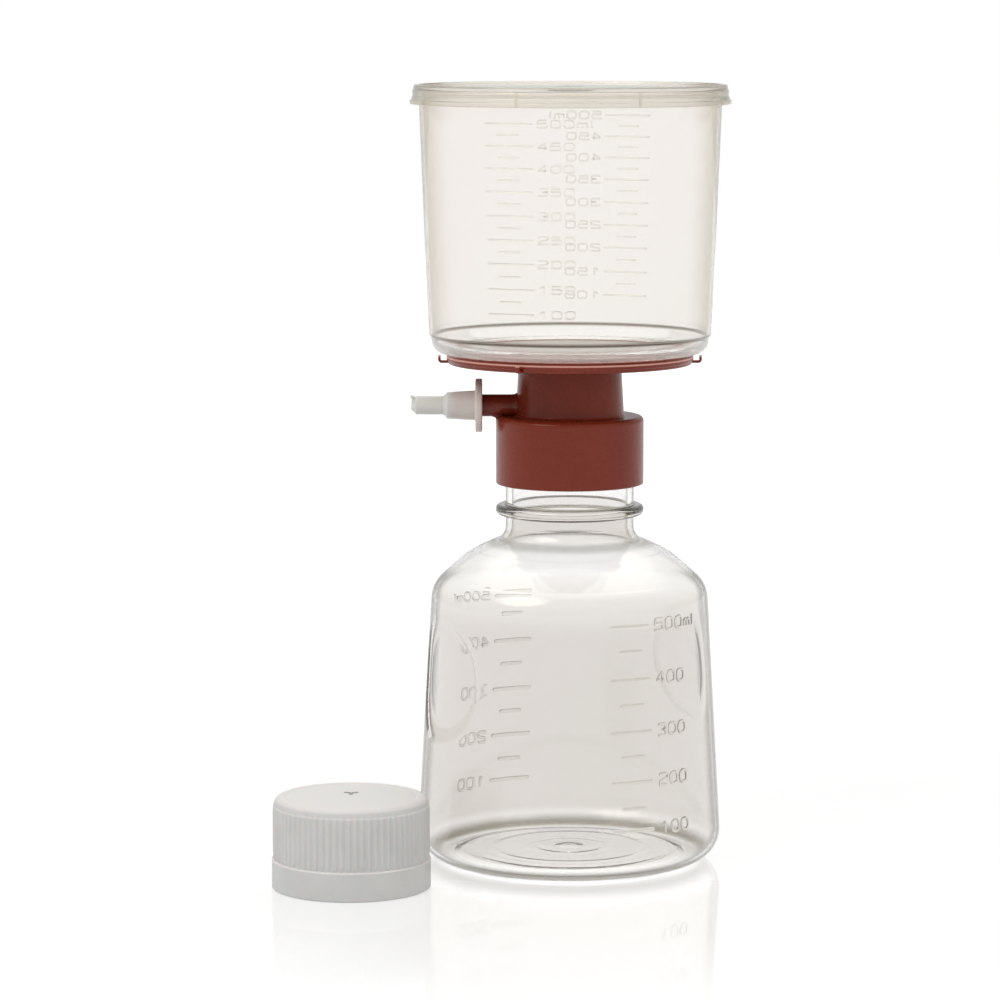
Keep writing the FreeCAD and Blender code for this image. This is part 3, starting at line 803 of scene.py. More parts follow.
@dataclass(frozen=True)
class WhitePlastic(Finish):
    """Satin white plastic of the cap.

    Attributes:
        colour: Main colour.
        shade: Colour of the slightly darker patches.
        pale: Colour of the painted light on the top and of painted highlights on thin edges.
        painted_top_light_z: Heights between which the painted light on the top comes in, in
            metres.
        painted_edge_highlights: Heights and half widths of painted highlight lines on edges,
            in metres.
    """

    colour: Colour = (0.63, 0.63, 0.62)
    shade: Colour = (0.58, 0.58, 0.57)
    pale: Colour = (0.76, 0.745, 0.735)
    painted_top_light_z: tuple[float, float] | None = None
    painted_edge_highlights: tuple[tuple[float, float], ...] = ()

    def shader(self, tree: ShaderTree) -> Signal:
        """Satin plastic with a fine grain.

        Args:
            tree: The nodes of the finish's material.

        Returns:
            The shader.
        """
        patches = tree.noise(90.0, detail=3.0).between(0.35, 0.7)
        fine = tree.noise(1800.0, detail=3.0)
        colour = tree.blend(patches, self.colour, self.shade)
        height = tree.along("Z")
        # Painted light: a paler top, as lit from above, and painted highlight lines on edges.
        if self.painted_top_light_z is not None:
            colour = tree.blend(height.between(*self.painted_top_light_z), colour, self.pale)
        for middle, reach in self.painted_edge_highlights:
            colour = tree.blend(height.near(middle, reach), colour, self.pale)
        return tree.node("ShaderNodeBsdfPrincipled", {}, {
            "Base Color": colour,
            "Roughness": 0.42 + fine * 0.14,
            "Subsurface Weight": 0.2,
            "Subsurface Scale": 0.002,
            "Normal": tree.relief(fine, 0.00001),
        })


@dataclass(frozen=True)
class FibreFinish(Finish):
    """Matt white material made of fibres: the membrane, the cotton.

    Attributes:
        colour: Main colour.
        shade: Colour between the fibres.
        scale: Fibres per metre.
        depth: Depth of the relief, in metres.
        under: Red-brown tint towards the rim.
        red_rim: Distances from the unit's axis between which that tint comes in, in metres.
    """

    colour: Colour = (0.82, 0.81, 0.79)
    shade: Colour = (0.7, 0.69, 0.67)
    scale: float = 900.0
    depth: float = 0.00003
    under: Colour = (0.24, 0.085, 0.06)
    red_rim: tuple[float, float] | None = None

    def shader(self, tree: ShaderTree) -> Signal:
        """Rough surface with crossing fibres of noise.

        Args:
            tree: The nodes of the finish's material.

        Returns:
            The shader.
        """
        first = tree.noise(self.scale, detail=3.0, stretch=(1.0, 0.15, 1.0))
        second = tree.noise(self.scale, detail=3.0, stretch=(0.15, 1.0, 1.0))
        fibres = first.largest(second)
        colour = tree.blend(fibres.between(0.4, 0.7), self.shade, self.colour)
        # Red-brown tint towards the rim.
        if self.red_rim is not None:
            red_rim = tree.axis_distance().between(*self.red_rim)
            colour = tree.blend(red_rim, colour, self.under)
        return tree.node("ShaderNodeBsdfPrincipled", {}, {
            "Base Color": colour,
            "Roughness": 0.9,
            "Normal": tree.relief(fibres, self.depth),
        })


class Finishes:
    """The finishes of the unit, one for each kind of plastic or fibre."""

    CHAMBER = ClearPlastic("clear_chamber_plastic", tint=(0.935, 0.92, 0.9),
                           edge=(0.45, 0.4, 0.27), edge_shade_band=(0.4, 1.0),
                           # Painted shade in a line at the wall's bend above the foot.
                           blush=(0.95, 0.905, 0.9), creases=((0.1711, 0.0009, 1.0),),
                           crease_shade=(0.12, 0.085, 0.06), edge_shade_z=(0.1695, 0.172),
                           edge_shade_left=0.08, ior=1.38, clear=0.95,
                           faint_z=(0.1697, 0.1706))
    CHAMBER_MARKS = ClearPlastic("clear_chamber_marks", tint=(0.965, 0.955, 0.94),
                                 edge=(0.65, 0.62, 0.55), blush_share=0.0, ior=1.5)
    BOTTLE = ClearPlastic("clear_bottle_plastic", tint=(0.831, 0.81, 0.789),
                          edge=(0.09, 0.083, 0.062), edge_shade_band=(0.66, 0.84),
                          blush=(0.816, 0.8, 0.775), edge_shade_r=(0.036, 0.041),
                          # Painted highlight bands on the foot, the shoulder and the neck
                          # above the bead.
                          highlight_bands=((-0.002, -0.001, 0.004, 0.008),
                                      (0.078, 0.092, 0.1035, 0.1065),
                                      (0.1155, 0.117, 0.2, 0.21)),
                          # Painted shade along the bead's edges and at the neck's foot.
                          creases=((0.1162, 0.0004, 1.0), (0.1127, 0.0004, 1.0),
                                   (0.104, 0.0014, 0.55)),
                          crease_shade=(0.14, 0.12, 0.08), ior=1.42, clear=0.97,
                          # Painted shade on the heel.
                          heel=(0.001, 0.0055, 0.041, 0.0445))
    BOTTLE_MARKS = ClearPlastic("clear_bottle_marks", tint=(0.83, 0.82, 0.79),
                                edge=(0.6, 0.58, 0.52), edge_shade_band=(0.8, 1.0),
                                blush_share=0.0, ior=1.5,
                                # White painted highlight on the lower sides of the marks.
                                clear=0.98, under=(1.0, 1.0, 1.0))
    LID = ClearPlastic("clear_lid_plastic", tint=(0.87, 0.845, 0.79),
                       edge=(0.5, 0.46, 0.37), edge_shade_band=(0.2, 1.0),
                       blush=(0.85, 0.82, 0.76), edge_shade_r=(0.044, 0.048), edge_shade_left=0.0,
                       clear=0.75)
    BASE = MouldedPlastic("red_brown_plastic",
                          # Painted highlight lines at the groove's lower lip and the flange's
                          # top edge.
                          painted_highlight_edges=((0.16415, 0.00045), (0.1654, 0.0003)))
    PLATE = MouldedPlastic("pale_plate_plastic", colour=(0.68, 0.66, 0.62),
                           flow_colour=(0.62, 0.6, 0.57), roughness=0.4)
    ADAPTER = MilkyPlastic("milky_adapter_plastic")
    CAP = WhitePlastic("white_cap_plastic", colour=(0.64, 0.64, 0.63),
                       # Painted light on the top, painted highlights at the rib tops and the
                       # band's top edge.
                       shade=(0.61, 0.61, 0.6), painted_top_light_z=(0.0274, 0.0284),
                       painted_edge_highlights=((0.0262, 0.0006), (0.0092, 0.0006)))
    # Painted shade: the raised gate mark is coloured dark grey like the shade in a recess.
    CAP_MARK_SHADE = WhitePlastic("gate_mark_painted_shade", colour=(0.3, 0.29, 0.28),
                            shade=(0.27, 0.26, 0.25))
    # Painted shade: the white membrane gets a grey colour for the shade that lies on it.
    MEMBRANE = FibreFinish("white_membrane", colour=(0.62, 0.6, 0.57),
                           shade=(0.54, 0.52, 0.49), red_rim=(0.031, 0.036))
    COTTON = FibreFinish("cotton", colour=(0.85, 0.84, 0.82), scale=700.0, depth=0.0002)
    SEAL = WhitePlastic("soft_seal", colour=(0.72, 0.71, 0.68), shade=(0.66, 0.65, 0.62))


class Body(Enum):
    """The rigid bodies that pieces ride on."""

    RECEIVER = "receiver"
    SEAL = "seal"
    HEAD = "head"
    LID = "lid"
    ADAPTER = "adapter"
    CAP = "cap"


def settle(piece: bpy.types.Object, body: Body,
           replaced: str | None = None) -> bpy.types.Object:
    """Ties a finished piece to its body and the node it stands for.

    Args:
        piece: The finished object.
        body: The body it rides on.
        replaced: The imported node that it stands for, if any.

    Returns:
        The same object.
    """
    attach(piece, body.value)
    if replaced is not None:
        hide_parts(replaced)
    log.info("%s: %d corners, %d faces, on %s", piece.name, len(piece.data.vertices),
             len(piece.data.polygons), body.value)
    return piece


def box_mm(node: str) -> tuple[Array, Array]:
    """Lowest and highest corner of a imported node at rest, in millimetres."""
    low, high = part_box(node)
    return np.array(low) / MM, np.array(high) / MM


def half_size(low: Array, high: Array, axis: int = 0) -> float:
    """Half of a box's measure along an axis: a round piece's radius."""
    return (high[axis] - low[axis]) / 2.0


# --- Scales ---


@dataclass(frozen=True)
class Mark:
    """One line of a scale: its height, its ends in degrees, and its number, if any."""

    height: float
    start: float
    end: float
    label: str = ""


Stroke = tuple[bool, tuple[Corner, ...]]

FIGURES: dict[str, tuple[Stroke, ...]] = {
    "0": ((True, ((0.0, 0.0, 0.35), (1.0, 0.0, 0.35), (1.0, 1.0, 0.35), (0.0, 1.0, 0.35))),),
    "1": ((False, ((0.15, 0.75), (0.55, 1.0, 0.05), (0.55, 0.0))),),
    "2": ((False, ((0.0, 0.8), (0.05, 1.0, 0.15), (1.0, 1.0, 0.25), (1.0, 0.6, 0.2),
                   (0.0, 0.35, 0.2), (0.0, 0.0, 0.05), (1.0, 0.0))),),
    "3": ((False, ((0.0, 0.9), (0.1, 1.0, 0.1), (1.0, 1.0, 0.22), (1.0, 0.52, 0.22),
                   (0.4, 0.52))),
          (False, ((0.6, 0.52), (1.0, 0.52, 0.22), (1.0, 0.0, 0.25), (0.1, 0.0, 0.1),
                   (0.0, 0.1)))),
    "4": ((False, ((0.75, 0.0), (0.75, 1.0, 0.05), (0.0, 0.3, 0.05), (1.0, 0.3))),),
    "5": ((False, ((0.95, 1.0), (0.08, 1.0, 0.05), (0.0, 0.55, 0.05), (1.0, 0.62, 0.25),
                   (1.0, 0.0, 0.25), (0.0, 0.0, 0.1), (0.0, 0.15))),),
    "m": ((False, ((0.0, 0.0), (0.0, 0.65))),
          (False, ((0.0, 0.6), (0.5, 0.65, 0.18), (0.5, 0.0))),
          (False, ((0.5, 0.6), (1.0, 0.65, 0.18), (1.0, 0.0)))),
    "l": ((False, ((0.1, 0.0), (0.1, 1.0))),),
}


@dataclass(frozen=True)
class Scale:
    """Raised volume scale on a round wall, repeated on the opposite side.

    Lines and figures are all drawn as half-round ridges that lie along the wall.

    Attributes:
        marks: The lines.
        wall: Function that gives the wall's radius at a height.
        label_azimuth: Where the numbers start, in degrees.
        letter: Width and height of a figure.
        advance: Distance from one figure to the next.
        line_width: Width of a line.
        stroke_width: Width of a figure's strokes.
        relief: How far the ridges stand out.
        sink: How far they reach into the wall.
        sides: Faces around a ridge.
        fade: Places of the rows that shrink at an open end, as shares of half a width.
    """

    marks: Sequence[Mark]
    wall: Callable[[Array], Array]
    label_azimuth: float
    letter: tuple[float, float]
    advance: float
    line_width: float = 0.55
    stroke_width: float = 0.6
    relief: float = 0.22
    sink: float = 0.03
    sides: int = 10
    fade: tuple[float, ...] = (0.0, 0.06, 0.25, 0.6, 1.0)

    def ridge(self, path: Array, closed: bool, width: float, start: float) -> Shell:
        """Ridge along a path on the wall.

        Across the path the ridge is w/2 cos(t) wide and relief * sin(t) high. Towards an
        open end it shrinks as sqrt(1 - (1 - d)^2), where d is the distance to that end in
        half widths, and 1 farther off.

        Args:
            path: Places (sideways, up), shape (n, 2).
            closed: Whether the path is a loop.
            width: Width w of the ridge.
            start: Azimuth where sideways is zero, in degrees.

        Returns:
            The ridge's surface.
        """
        shrink = np.ones((len(path), 1))
        if closed:
            way = np.roll(path, -1, axis=0) - np.roll(path, 1, axis=0)
        else:
            steps = np.linalg.norm(np.diff(path, axis=0), axis=1)
            along = np.concatenate([[0.0], np.cumsum(steps)])
            reach = width / 2.0
            near = reach * np.array(self.fade)
            inner = along[(along > reach * 1.1) & (along < along[-1] - reach * 1.1)]
            stops = np.concatenate([near, inner, along[-1] - near[::-1]])
            path = np.stack([np.interp(stops, along, path[:, k]) for k in (0, 1)], axis=1)
            share = np.minimum(stops, along[-1] - stops).clip(0.0, reach) / reach
            shrink = np.sqrt(1.0 - (1.0 - share) ** 2)[:, None]
            way = np.gradient(path, stops, axis=0)
        way = way / np.linalg.norm(way, axis=1, keepdims=True)
        around = full_turn(self.sides)[None, :]
        offset = shrink * np.cos(around) * width / 2.0
        sideways = path[:, :1] - way[:, 1:] * offset
        height = path[:, 1:] + way[:, :1] * offset
        lift = shrink * np.sin(around) * np.where(np.sin(around) > 0.0, self.relief, self.sink)
        wall = self.wall(height)
        azimuth = math.radians(start) + sideways / wall
        radius = wall + lift
        grid = np.stack([radius * np.sin(azimuth), -radius * np.cos(azimuth), height], axis=-1)
        return Shell.from_grid(grid, closed_rows=closed)

    def line(self, mark: Mark) -> Shell:
        """Draws a mark's line.

        Args:
            mark: The mark.

        Returns:
            A ridge level with the mark, from its start to its end.
        """
        length = math.radians(mark.end - mark.start) * float(self.wall(mark.height))
        path = np.linspace((0.0, mark.height), (length, mark.height), 16)
        return self.ridge(path, False, self.line_width, mark.start)

    def label(self, mark: Mark) -> list[Shell]:
        """Draws a mark's number, one figure after another from the label's azimuth.

        Args:
            mark: The mark.

        Returns:
            A ridge for each stroke.
        """
        strokes = []
        for place, figure in enumerate(mark.label):
            for closed, corners in FIGURES[figure]:
                scaled = [(corner[0] * self.letter[0] + place * self.advance,
                           mark.height + (corner[1] - 0.5) * self.letter[1],
                           *(fillet * self.letter[1] for fillet in corner[2:]))
                          for corner in corners]
                path = outline(scaled, closed=closed, step=0.8, turn=20.0, hold=0.2)
                strokes.append(self.ridge(path, closed, self.stroke_width,
                                          self.label_azimuth))
        return strokes

    def shell(self) -> Shell:
        """Draws the whole scale.

        Returns:
            All lines and figures, on both sides of the wall.
        """
        one_side = [self.line(mark) for mark in self.marks]
        for mark in self.marks:
            one_side += self.label(mark)
        both = Shell.joined(one_side)
        return Shell.joined([both, both.around(180.0)])


# --- Receiver bottle ---


@dataclass(frozen=True)
class NeckThread:
    """Ridge of a screw thread on a round wall.

    Attributes:
        start: Height of the ridge's middle where it begins, at azimuth 90.
        pitch: Rise for each turn.
        turns: Length of the ridge in turns.
        root: Width at the wall.
        crest: Width at the top.
        height: How far the ridge stands out. A negative one stands inwards.
        wall: Radius of the wall that carries it.
        run_in: Part of a turn over which it rises at its start and falls at its end.
    """

    start: float
    pitch: float
    turns: float
    root: float
    crest: float
    height: float
    wall: float
    run_in: float = 0.1

    @classmethod
    def inside(cls, start: float, wall: float) -> "NeckThread":
        """The neck's mate on an inner wall.

        Args:
            start: Height where the neck's own ridge begins when screwed in. The mate
                begins under it, so that the turns of the two lie between each other.
            wall: Radius of the inner wall.

        Returns:
            The mate's ridge.
        """
        drop = 1.825
        return cls(start=start - drop, pitch=4.2, turns=1.75, root=2.0, crest=0.8,
                   height=-1.5, wall=wall)

    def swell(self, radius: Array, azimuth: Array, height: Array) -> Array:
        """Extra radius of the ridge at each point of the wall.

        The ridge's middle runs at start + pitch * turn. The nearest turn to a point is
        found by rounding, and the ridge is a trapezium across with eased flanks.

        Args:
            radius: Radius of each point.
            azimuth: Its azimuth, in radians.
            height: Its height.

        Returns:
            The extra radius, zero away from the wall.
        """
        part = ((azimuth - math.pi / 2.0) / (2.0 * math.pi)) % 1.0
        whole = np.round((height - self.start) / self.pitch - part)
        turn = whole + part
        across = np.abs(height - self.start - self.pitch * turn)
        ridge = 1.0 - smooth_step(self.crest / 2.0, self.root / 2.0, across)
        run = smooth_step(0.0, self.run_in, turn)
        run *= 1.0 - smooth_step(self.turns - self.run_in, self.turns, turn)
        on_wall = np.abs(radius - self.wall) < WALL_REACH
        return np.where(on_wall, self.height * ridge * run, 0.0)


def closer_rows(points: Array, wall: float, heights: Array, margin: float) -> Array:
    """Replaces an outline's points along an upright wall by closer ones.

    Args:
        points: Outline of (radius, height), shape (n, 2).
        wall: Radius of the wall.
        heights: Heights of the new points, in the outline's order.
        margin: How far beyond the new points old ones are taken out.

    Returns:
        The new outline.
    """
    old = np.abs(points[:, 0] - wall) < WALL_REACH
    old &= np.abs(points[:, 1] - heights.mean()) < np.ptp(heights) / 2.0 + margin
    rows = np.stack([np.full_like(heights, wall), heights], axis=1)
    return np.insert(points[~old], int(np.flatnonzero(old)[0]), rows, axis=0)


@dataclass
class ReceiverBottle:
    """Clear blown bottle with a pushed-up foot, two finger grips and a threaded neck."""

    mouth_z: float = 141.9
    heel_r: float = 49.3
    taper: float = 0.0567
    heel_radius: float = 9.7
    foot_inner_r: float = 37.6
    shoulder_z: float = 89.9
    knee_r: float = 33.3
    knee_z: float = 100.3
    neck_r: float = 20.8
    neck_foot_z: float = 106.1
    neck_wall: float = 2.0
    bead_r: float = 24.0
    bead_z: float = 114.45
    bead_height: float = 3.3
    thread_z: float = 131.0
    wall: float = 1.4
    grip_azimuths: tuple[float, ...] = (-64.0, 116.0)
    grip_z: float = 61.5
    grip_half_angle: float = 25.4
    grip_half_height: float = 20.4
    grip_depth: float = 1.45
    grip_rim: float = 0.24
    marks: tuple[tuple[float, str], ...] = (
        (81.9, "500ml"), (74.0, ""), (65.0, "400"), (57.0, ""), (48.4, "300"),
        (40.7, ""), (32.6, "200"), (24.3, ""), (17.2, "100"))

    @classmethod
    def from_frame(cls) -> "ReceiverBottle":
        """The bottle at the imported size."""
        low, high = box_mm("receiver_bottle")
        return cls(mouth_z=high[2], heel_r=half_size(low, high))

    def wall_radius(self, height: Array) -> Array:
        """Radius of the tapered wall: it loses the taper for each millimetre of height."""
        return self.heel_r + self.taper * (self.heel_radius - height)

    def grips(self, radius: Array, azimuth: Array, height: Array) -> Array:
        """Dent of the finger grips.

        Each grip is an oval in azimuth and height. The wall is set back by the full
        depth inside it, and eases back over a band along its edge.

        Args:
            radius: Radius of each point.
            azimuth: Its azimuth, in radians.
            height: Its height.

        Returns:
            The extra radius, negative in the grips.
        """
        dent = np.zeros_like(radius)
        up = (height - self.grip_z) / self.grip_half_height
        for middle in self.grip_azimuths:
            turned = (azimuth - math.radians(middle) + math.pi) % (2.0 * math.pi) - math.pi
            side = turned / math.radians(self.grip_half_angle)
            away = np.hypot(side, up)
            dent -= self.grip_depth * (1.0 - smooth_step(1.0 - self.grip_rim, 1.0, away))
        return np.where(radius > self.neck_r + 5.0, dent, 0.0)

    def foot(self) -> list[Corner]:
        """Underside of the bottle.

        Returns:
            Corners from the middle out: gate dimple, two faint steps, foot ring.
        """
        return [(0.0, 2.7), (2.6, 2.65, 1.5), (4.6, 2.3, 2.0), (11.0, 2.15, 5.0),
                (13.6, 1.96, 5.0), (24.4, 1.75, 6.0), (27.0, 1.52, 6.0), (34.0, 1.3, 8.0),
                (self.foot_inner_r, 0.0, 1.2)]

    def outside(self) -> list[Corner]:
        """Outer side of the bottle.

        Returns:
            Corners from the foot ring up to the lip of the mouth.
        """
        low, high = self.bead_z - self.bead_height / 2.0, self.bead_z + self.bead_height / 2.0
        return [(float(self.wall_radius(0.0)), 0.0, self.heel_radius),
                (float(self.wall_radius(self.shoulder_z)), self.shoulder_z, 10.0),
                (self.knee_r, self.knee_z, 20.0),
                (self.neck_r, self.neck_foot_z, 4.5),
                (self.neck_r, low, 0.5), (self.bead_r, low, 1.5),
                (self.bead_r, high, 1.5), (self.neck_r, high, 0.5),
                (self.neck_r, self.mouth_z, 0.6)]

    def inside(self) -> list[Corner]:
        """Inner side, about a wall's thickness in from the outer one.

        Returns:
            Corners from the mouth down to the middle of the floor.
        """
        bore = self.neck_r - self.neck_wall
        thin = self.wall
        slant = (self.neck_foot_z - self.knee_z) / (self.neck_r - self.knee_r)
        knee = (self.knee_r - 0.75, self.knee_z - thin * 1.02)
        root_z = knee[1] + (bore - knee[0]) * slant
        shoulder_r = float(self.wall_radius(self.shoulder_z)) - thin * 1.02
        heel_r = float(self.wall_radius(0.0)) - thin * 1.06
        return [(bore, self.mouth_z, 0.5), (bore, root_z, 4.5 + thin), (*knee, 20.0 - thin),
                (shoulder_r, self.shoulder_z - 0.55, 10.0 - thin),
                (heel_r, thin, self.heel_radius - thin),
                (self.foot_inner_r + 0.2, thin, 3.0), (33.6, 1.3 + thin, 5.0),
                (27.4, 1.5 + thin, 8.0), (24.2, 1.75 + thin, 8.0),
                (13.4, 1.95 + thin, 6.0), (10.8, 2.16 + thin, 6.0), (0.0, 2.35 + thin)]

    def azimuths(self) -> Array:
        """Columns, closer together across the grips than elsewhere.

        Returns:
            Their azimuths in radians, from small to large.
        """
        sides = [full_turn(144)]
        for middle in self.grip_azimuths:
            reach = self.grip_half_angle + 2.0
            sides.append(np.radians(np.linspace(middle - reach, middle + reach, 62)))
        return np.unique(np.round(np.concatenate(sides) % (2.0 * math.pi), 4))

    def rows(self, corners: Sequence[Corner]) -> Array:
        """Outline with closer rows across the grips and along the thread.

        Args:
            corners: Corners of the outline.

        Returns:
            The points, shape (n, 2).
        """
        points = outline(corners, closed=False, step=2.5, turn=12.0)
        heights = points[:, 1]
        fine = (np.abs(heights - self.grip_z) < self.grip_half_height + 2.0)
        fine |= (heights > self.mouth_z - 14.0) & (heights < self.mouth_z - 2.0)
        fine &= np.abs(np.gradient(heights)) > 0.2
        extra = [(points[k] + points[k + 1]) / 2.0 for k in np.flatnonzero(fine[:-1])]
        where = np.flatnonzero(fine[:-1]) + 1
        return np.insert(points, where, np.array(extra), axis=0)

    def swell(self, radius: Array, azimuth: Array, height: Array) -> Array:
        """Dent of the grips plus the ridge of the thread.

        Args:
            radius: Radius of each point.
            azimuth: Its azimuth, in radians.
            height: Its height.

        Returns:
            The extra radius.
        """
        thread = NeckThread(start=self.thread_z, pitch=4.2, turns=1.5, root=2.2, crest=0.9,
                            height=1.5, wall=self.neck_r)
        return self.grips(radius, azimuth, height) + thread.swell(radius, azimuth, height)

    def shell(self) -> Shell:
        """The wall with its outer and inner side."""
        corners = self.foot() + self.outside() + self.inside()
        return lathe(self.rows(corners), self.azimuths(), closed=False, swell=self.swell)

    def scale(self) -> Scale:
        """The raised scale on the right of the front and on the left of the back.

        Returns:
            The scale, with long lines where there are numbers.
        """
        long_line, short_line = (15.5, 33.0), (19.5, 29.5)
        marks = [Mark(height, *(long_line if label else short_line), label)
                 for height, label in self.marks]
        return Scale(marks, self.wall_radius, label_azimuth=36.0, letter=(3.1, 3.5),
                     advance=4.4, line_width=1.3, stroke_width=1.0, relief=0.24)

    def build(self) -> None:
        """Makes the bottle and its scale."""
        settle(self.shell().piece("bottle_wall", Finishes.BOTTLE, sharp=60.0),
               Body.RECEIVER, "receiver_bottle")
        settle(self.scale().shell().piece("bottle_scale", Finishes.BOTTLE_MARKS, sharp=50.0),
               Body.RECEIVER)


# --- Filter head ---


@dataclass
class FilterBase:
    """Red-brown moulding: collar, column, drip tube, pan, flange, side arm and hooks."""

    rim_z: float = 166.3
    seat_depth: float = 1.7
    collar_z: float = 122.8
    collar_r: float = 23.9
    bore_r: float = 22.65
    thread_z: float = 131.0
    ceiling_z: float = 143.1
    ceiling: float = 1.8
    column_low_r: float = 17.55
    column_high_r: float = 16.6
    column_wall: float = 1.8
    drip_r: float = 5.2
    drip_bore_r: float = 4.0
    drip_end_z: float = 128.0
    pan_z: float = 161.2
    pan_r: float = 35.7
    rib_count: int = 12
    flange_r: float = 39.9
    flange_low_z: float = 161.8
    flange_step_z: float = 162.7
    groove_z: float = 164.7
    flange_high_z: float = 165.4
    arm_r: float = 3.6
    arm_bore_r: float = 2.2
    arm_rise: float = 3.2
    arm_end_x: float = -38.8
    hook_azimuths: tuple[float, ...] = (-90.0, -24.0, 90.0, 156.0)
    hook_r: float = 42.6
    hook_low_z: float = 161.9
    hook_high_z: float = 164.4

    @classmethod
    def from_frame(cls) -> "FilterBase":
        """Reads the base's size from the frame.

        The collar's radius follows from where the adapter's flange ends.

        Returns:
            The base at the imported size.
        """
        low, high = box_mm("filter_base")
        _, adapter_high = box_mm("hose_adapter")
        adapter_gap, collar_wall, hook_reach, arm_length = 4.4, 1.25, 2.7, 14.9
        collar_r = -adapter_high[0] - adapter_gap
        return cls(rim_z=high[2], collar_z=low[2], collar_r=collar_r,
                   bore_r=collar_r - collar_wall, hook_r=high[0],
                   flange_r=high[0] - hook_reach, arm_end_x=-collar_r - arm_length)

    @property
    def arm_z(self) -> float:
        """Height of the side arm's axis."""
        return self.ceiling_z + self.ceiling + self.arm_rise

    def corners(self) -> list[Corner]:
        """Half section of the moulding without its arm, hooks and ribs.

        Returns:
            Corners from the drip tube's end up the column, out along the flange and
            back.
        """
        top = self.ceiling_z + self.ceiling
        bore_low = self.column_low_r - self.column_wall
        bore_high = self.column_high_r - self.column_wall
        edge, rim = self.flange_r, self.flange_r - 1.0
        lower = edge - 0.4
        plate_r, seat = rim - 1.8, self.rim_z - self.seat_depth
        return [(self.drip_bore_r, self.drip_end_z, 0.3), (self.drip_r, self.drip_end_z, 0.3),
                (self.drip_r, self.pan_z, 0.8), (bore_high, self.pan_z, 0.8),
                (bore_low, self.ceiling_z, 0.4), (self.bore_r, self.ceiling_z, 0.5),
                (self.bore_r, self.collar_z, 0.4), (self.collar_r, self.collar_z, 0.5),
                (self.collar_r, top, 1.6), (self.column_low_r, top, 0.9),
                (self.column_high_r, self.pan_z, 1.0), (lower - 1.6, self.flange_low_z, 1.2),
                (lower, self.flange_low_z, 0.7), (lower, self.flange_step_z, 0.2),
                (edge, self.flange_step_z + 0.4, 0.35), (edge, self.groove_z - 0.4, 0.25),
                (edge - 0.4, self.groove_z, 0.25), (edge, self.groove_z + 0.35, 0.25),
                (edge, self.flange_high_z, 0.45), (rim, self.flange_high_z, 0.15),
                (rim, self.rim_z, 0.15), (plate_r, self.rim_z, 0.15), (plate_r, seat, 0.1),
                (plate_r - 1.4, seat, 0.1), (plate_r - 1.4, self.pan_z + 2.7, 0.4),
                (self.drip_bore_r, self.pan_z + 1.5, 0.8)]

    def body(self) -> Shell:
        """Turns the round body, with the thread inside its collar.

        Returns:
            Its surface.
        """
        thread = NeckThread.inside(self.thread_z, self.bore_r)
        points = outline(self.corners(), step=2.2, turn=12.0)
        rows = np.linspace(138.6, 127.4, 46)
        points = closer_rows(points, self.bore_r, rows, margin=0.4)
        return lathe(points, full_turn(240), swell=thread.swell)

    def ribs(self) -> Shell:
        """Radial ribs on the pan under the support plate.

        Returns:
            All ribs in one surface.
        """
        low, high = self.pan_z + 1.2, self.rim_z - self.seat_depth
        middle = (low + high) / 2.0
        path = np.linspace((-self.pan_r - 0.4, middle), (-8.0, middle), 6)
        rib = carried(rounded_section(1.0, high - low, radius=0.3), path)
        step = 360.0 / self.rib_count
        return rib.repeated(step * (k + 0.5) for k in range(self.rib_count))

    def hooks(self) -> Shell:
        """Small hooks that reach out of the flange and turn up.

        Returns:
            All hooks in one surface.
        """
        thick = 0.85
        out = -self.hook_r + thick / 2.0
        low = self.hook_low_z + thick / 2.0
        bend = outline([(-self.flange_r + 0.8, low), (out, low, 0.75),
                        (out, self.hook_high_z)], closed=False, step=0.6, turn=12.0,
                       hold=0.05)
        hook = carried(rounded_section(1.4, thick, radius=0.22), bend)
        return hook.repeated(self.hook_azimuths)

    def arm(self) -> Shell:
        """Hollow side arm that flares a little into the column.

        Along the arm the radius is the arm's plus a flare of 0.5 exp(-d / 0.5), with d
        the distance past its first 0.7.

        Returns:
            The arm's surface.
        """
        root = self.column_low_r - 1.0
        end = -self.arm_end_x - root
        flare, flare_start = 0.5, 0.7
        along = np.concatenate([np.linspace(0.0, 3.0, 18), np.linspace(3.6, end - 0.5, 12)])
        past = np.maximum(along - flare_start, 0.0)
        outer = np.stack([self.arm_r + flare * np.exp(-past / flare), along], axis=1)
        tip = outline([(self.arm_r, end - 0.5), (self.arm_r - 0.5, end),
                       (self.arm_bore_r, end)], closed=False, hold=0.05)
        bore = np.array([[self.arm_bore_r, end - 0.3], [self.arm_bore_r, end - 9.0],
                         [self.arm_bore_r, 0.0]])
        return along_arm(lathe(np.concatenate([outer, tip[1:], bore]), full_turn(64)),
                         -root, self.arm_z)

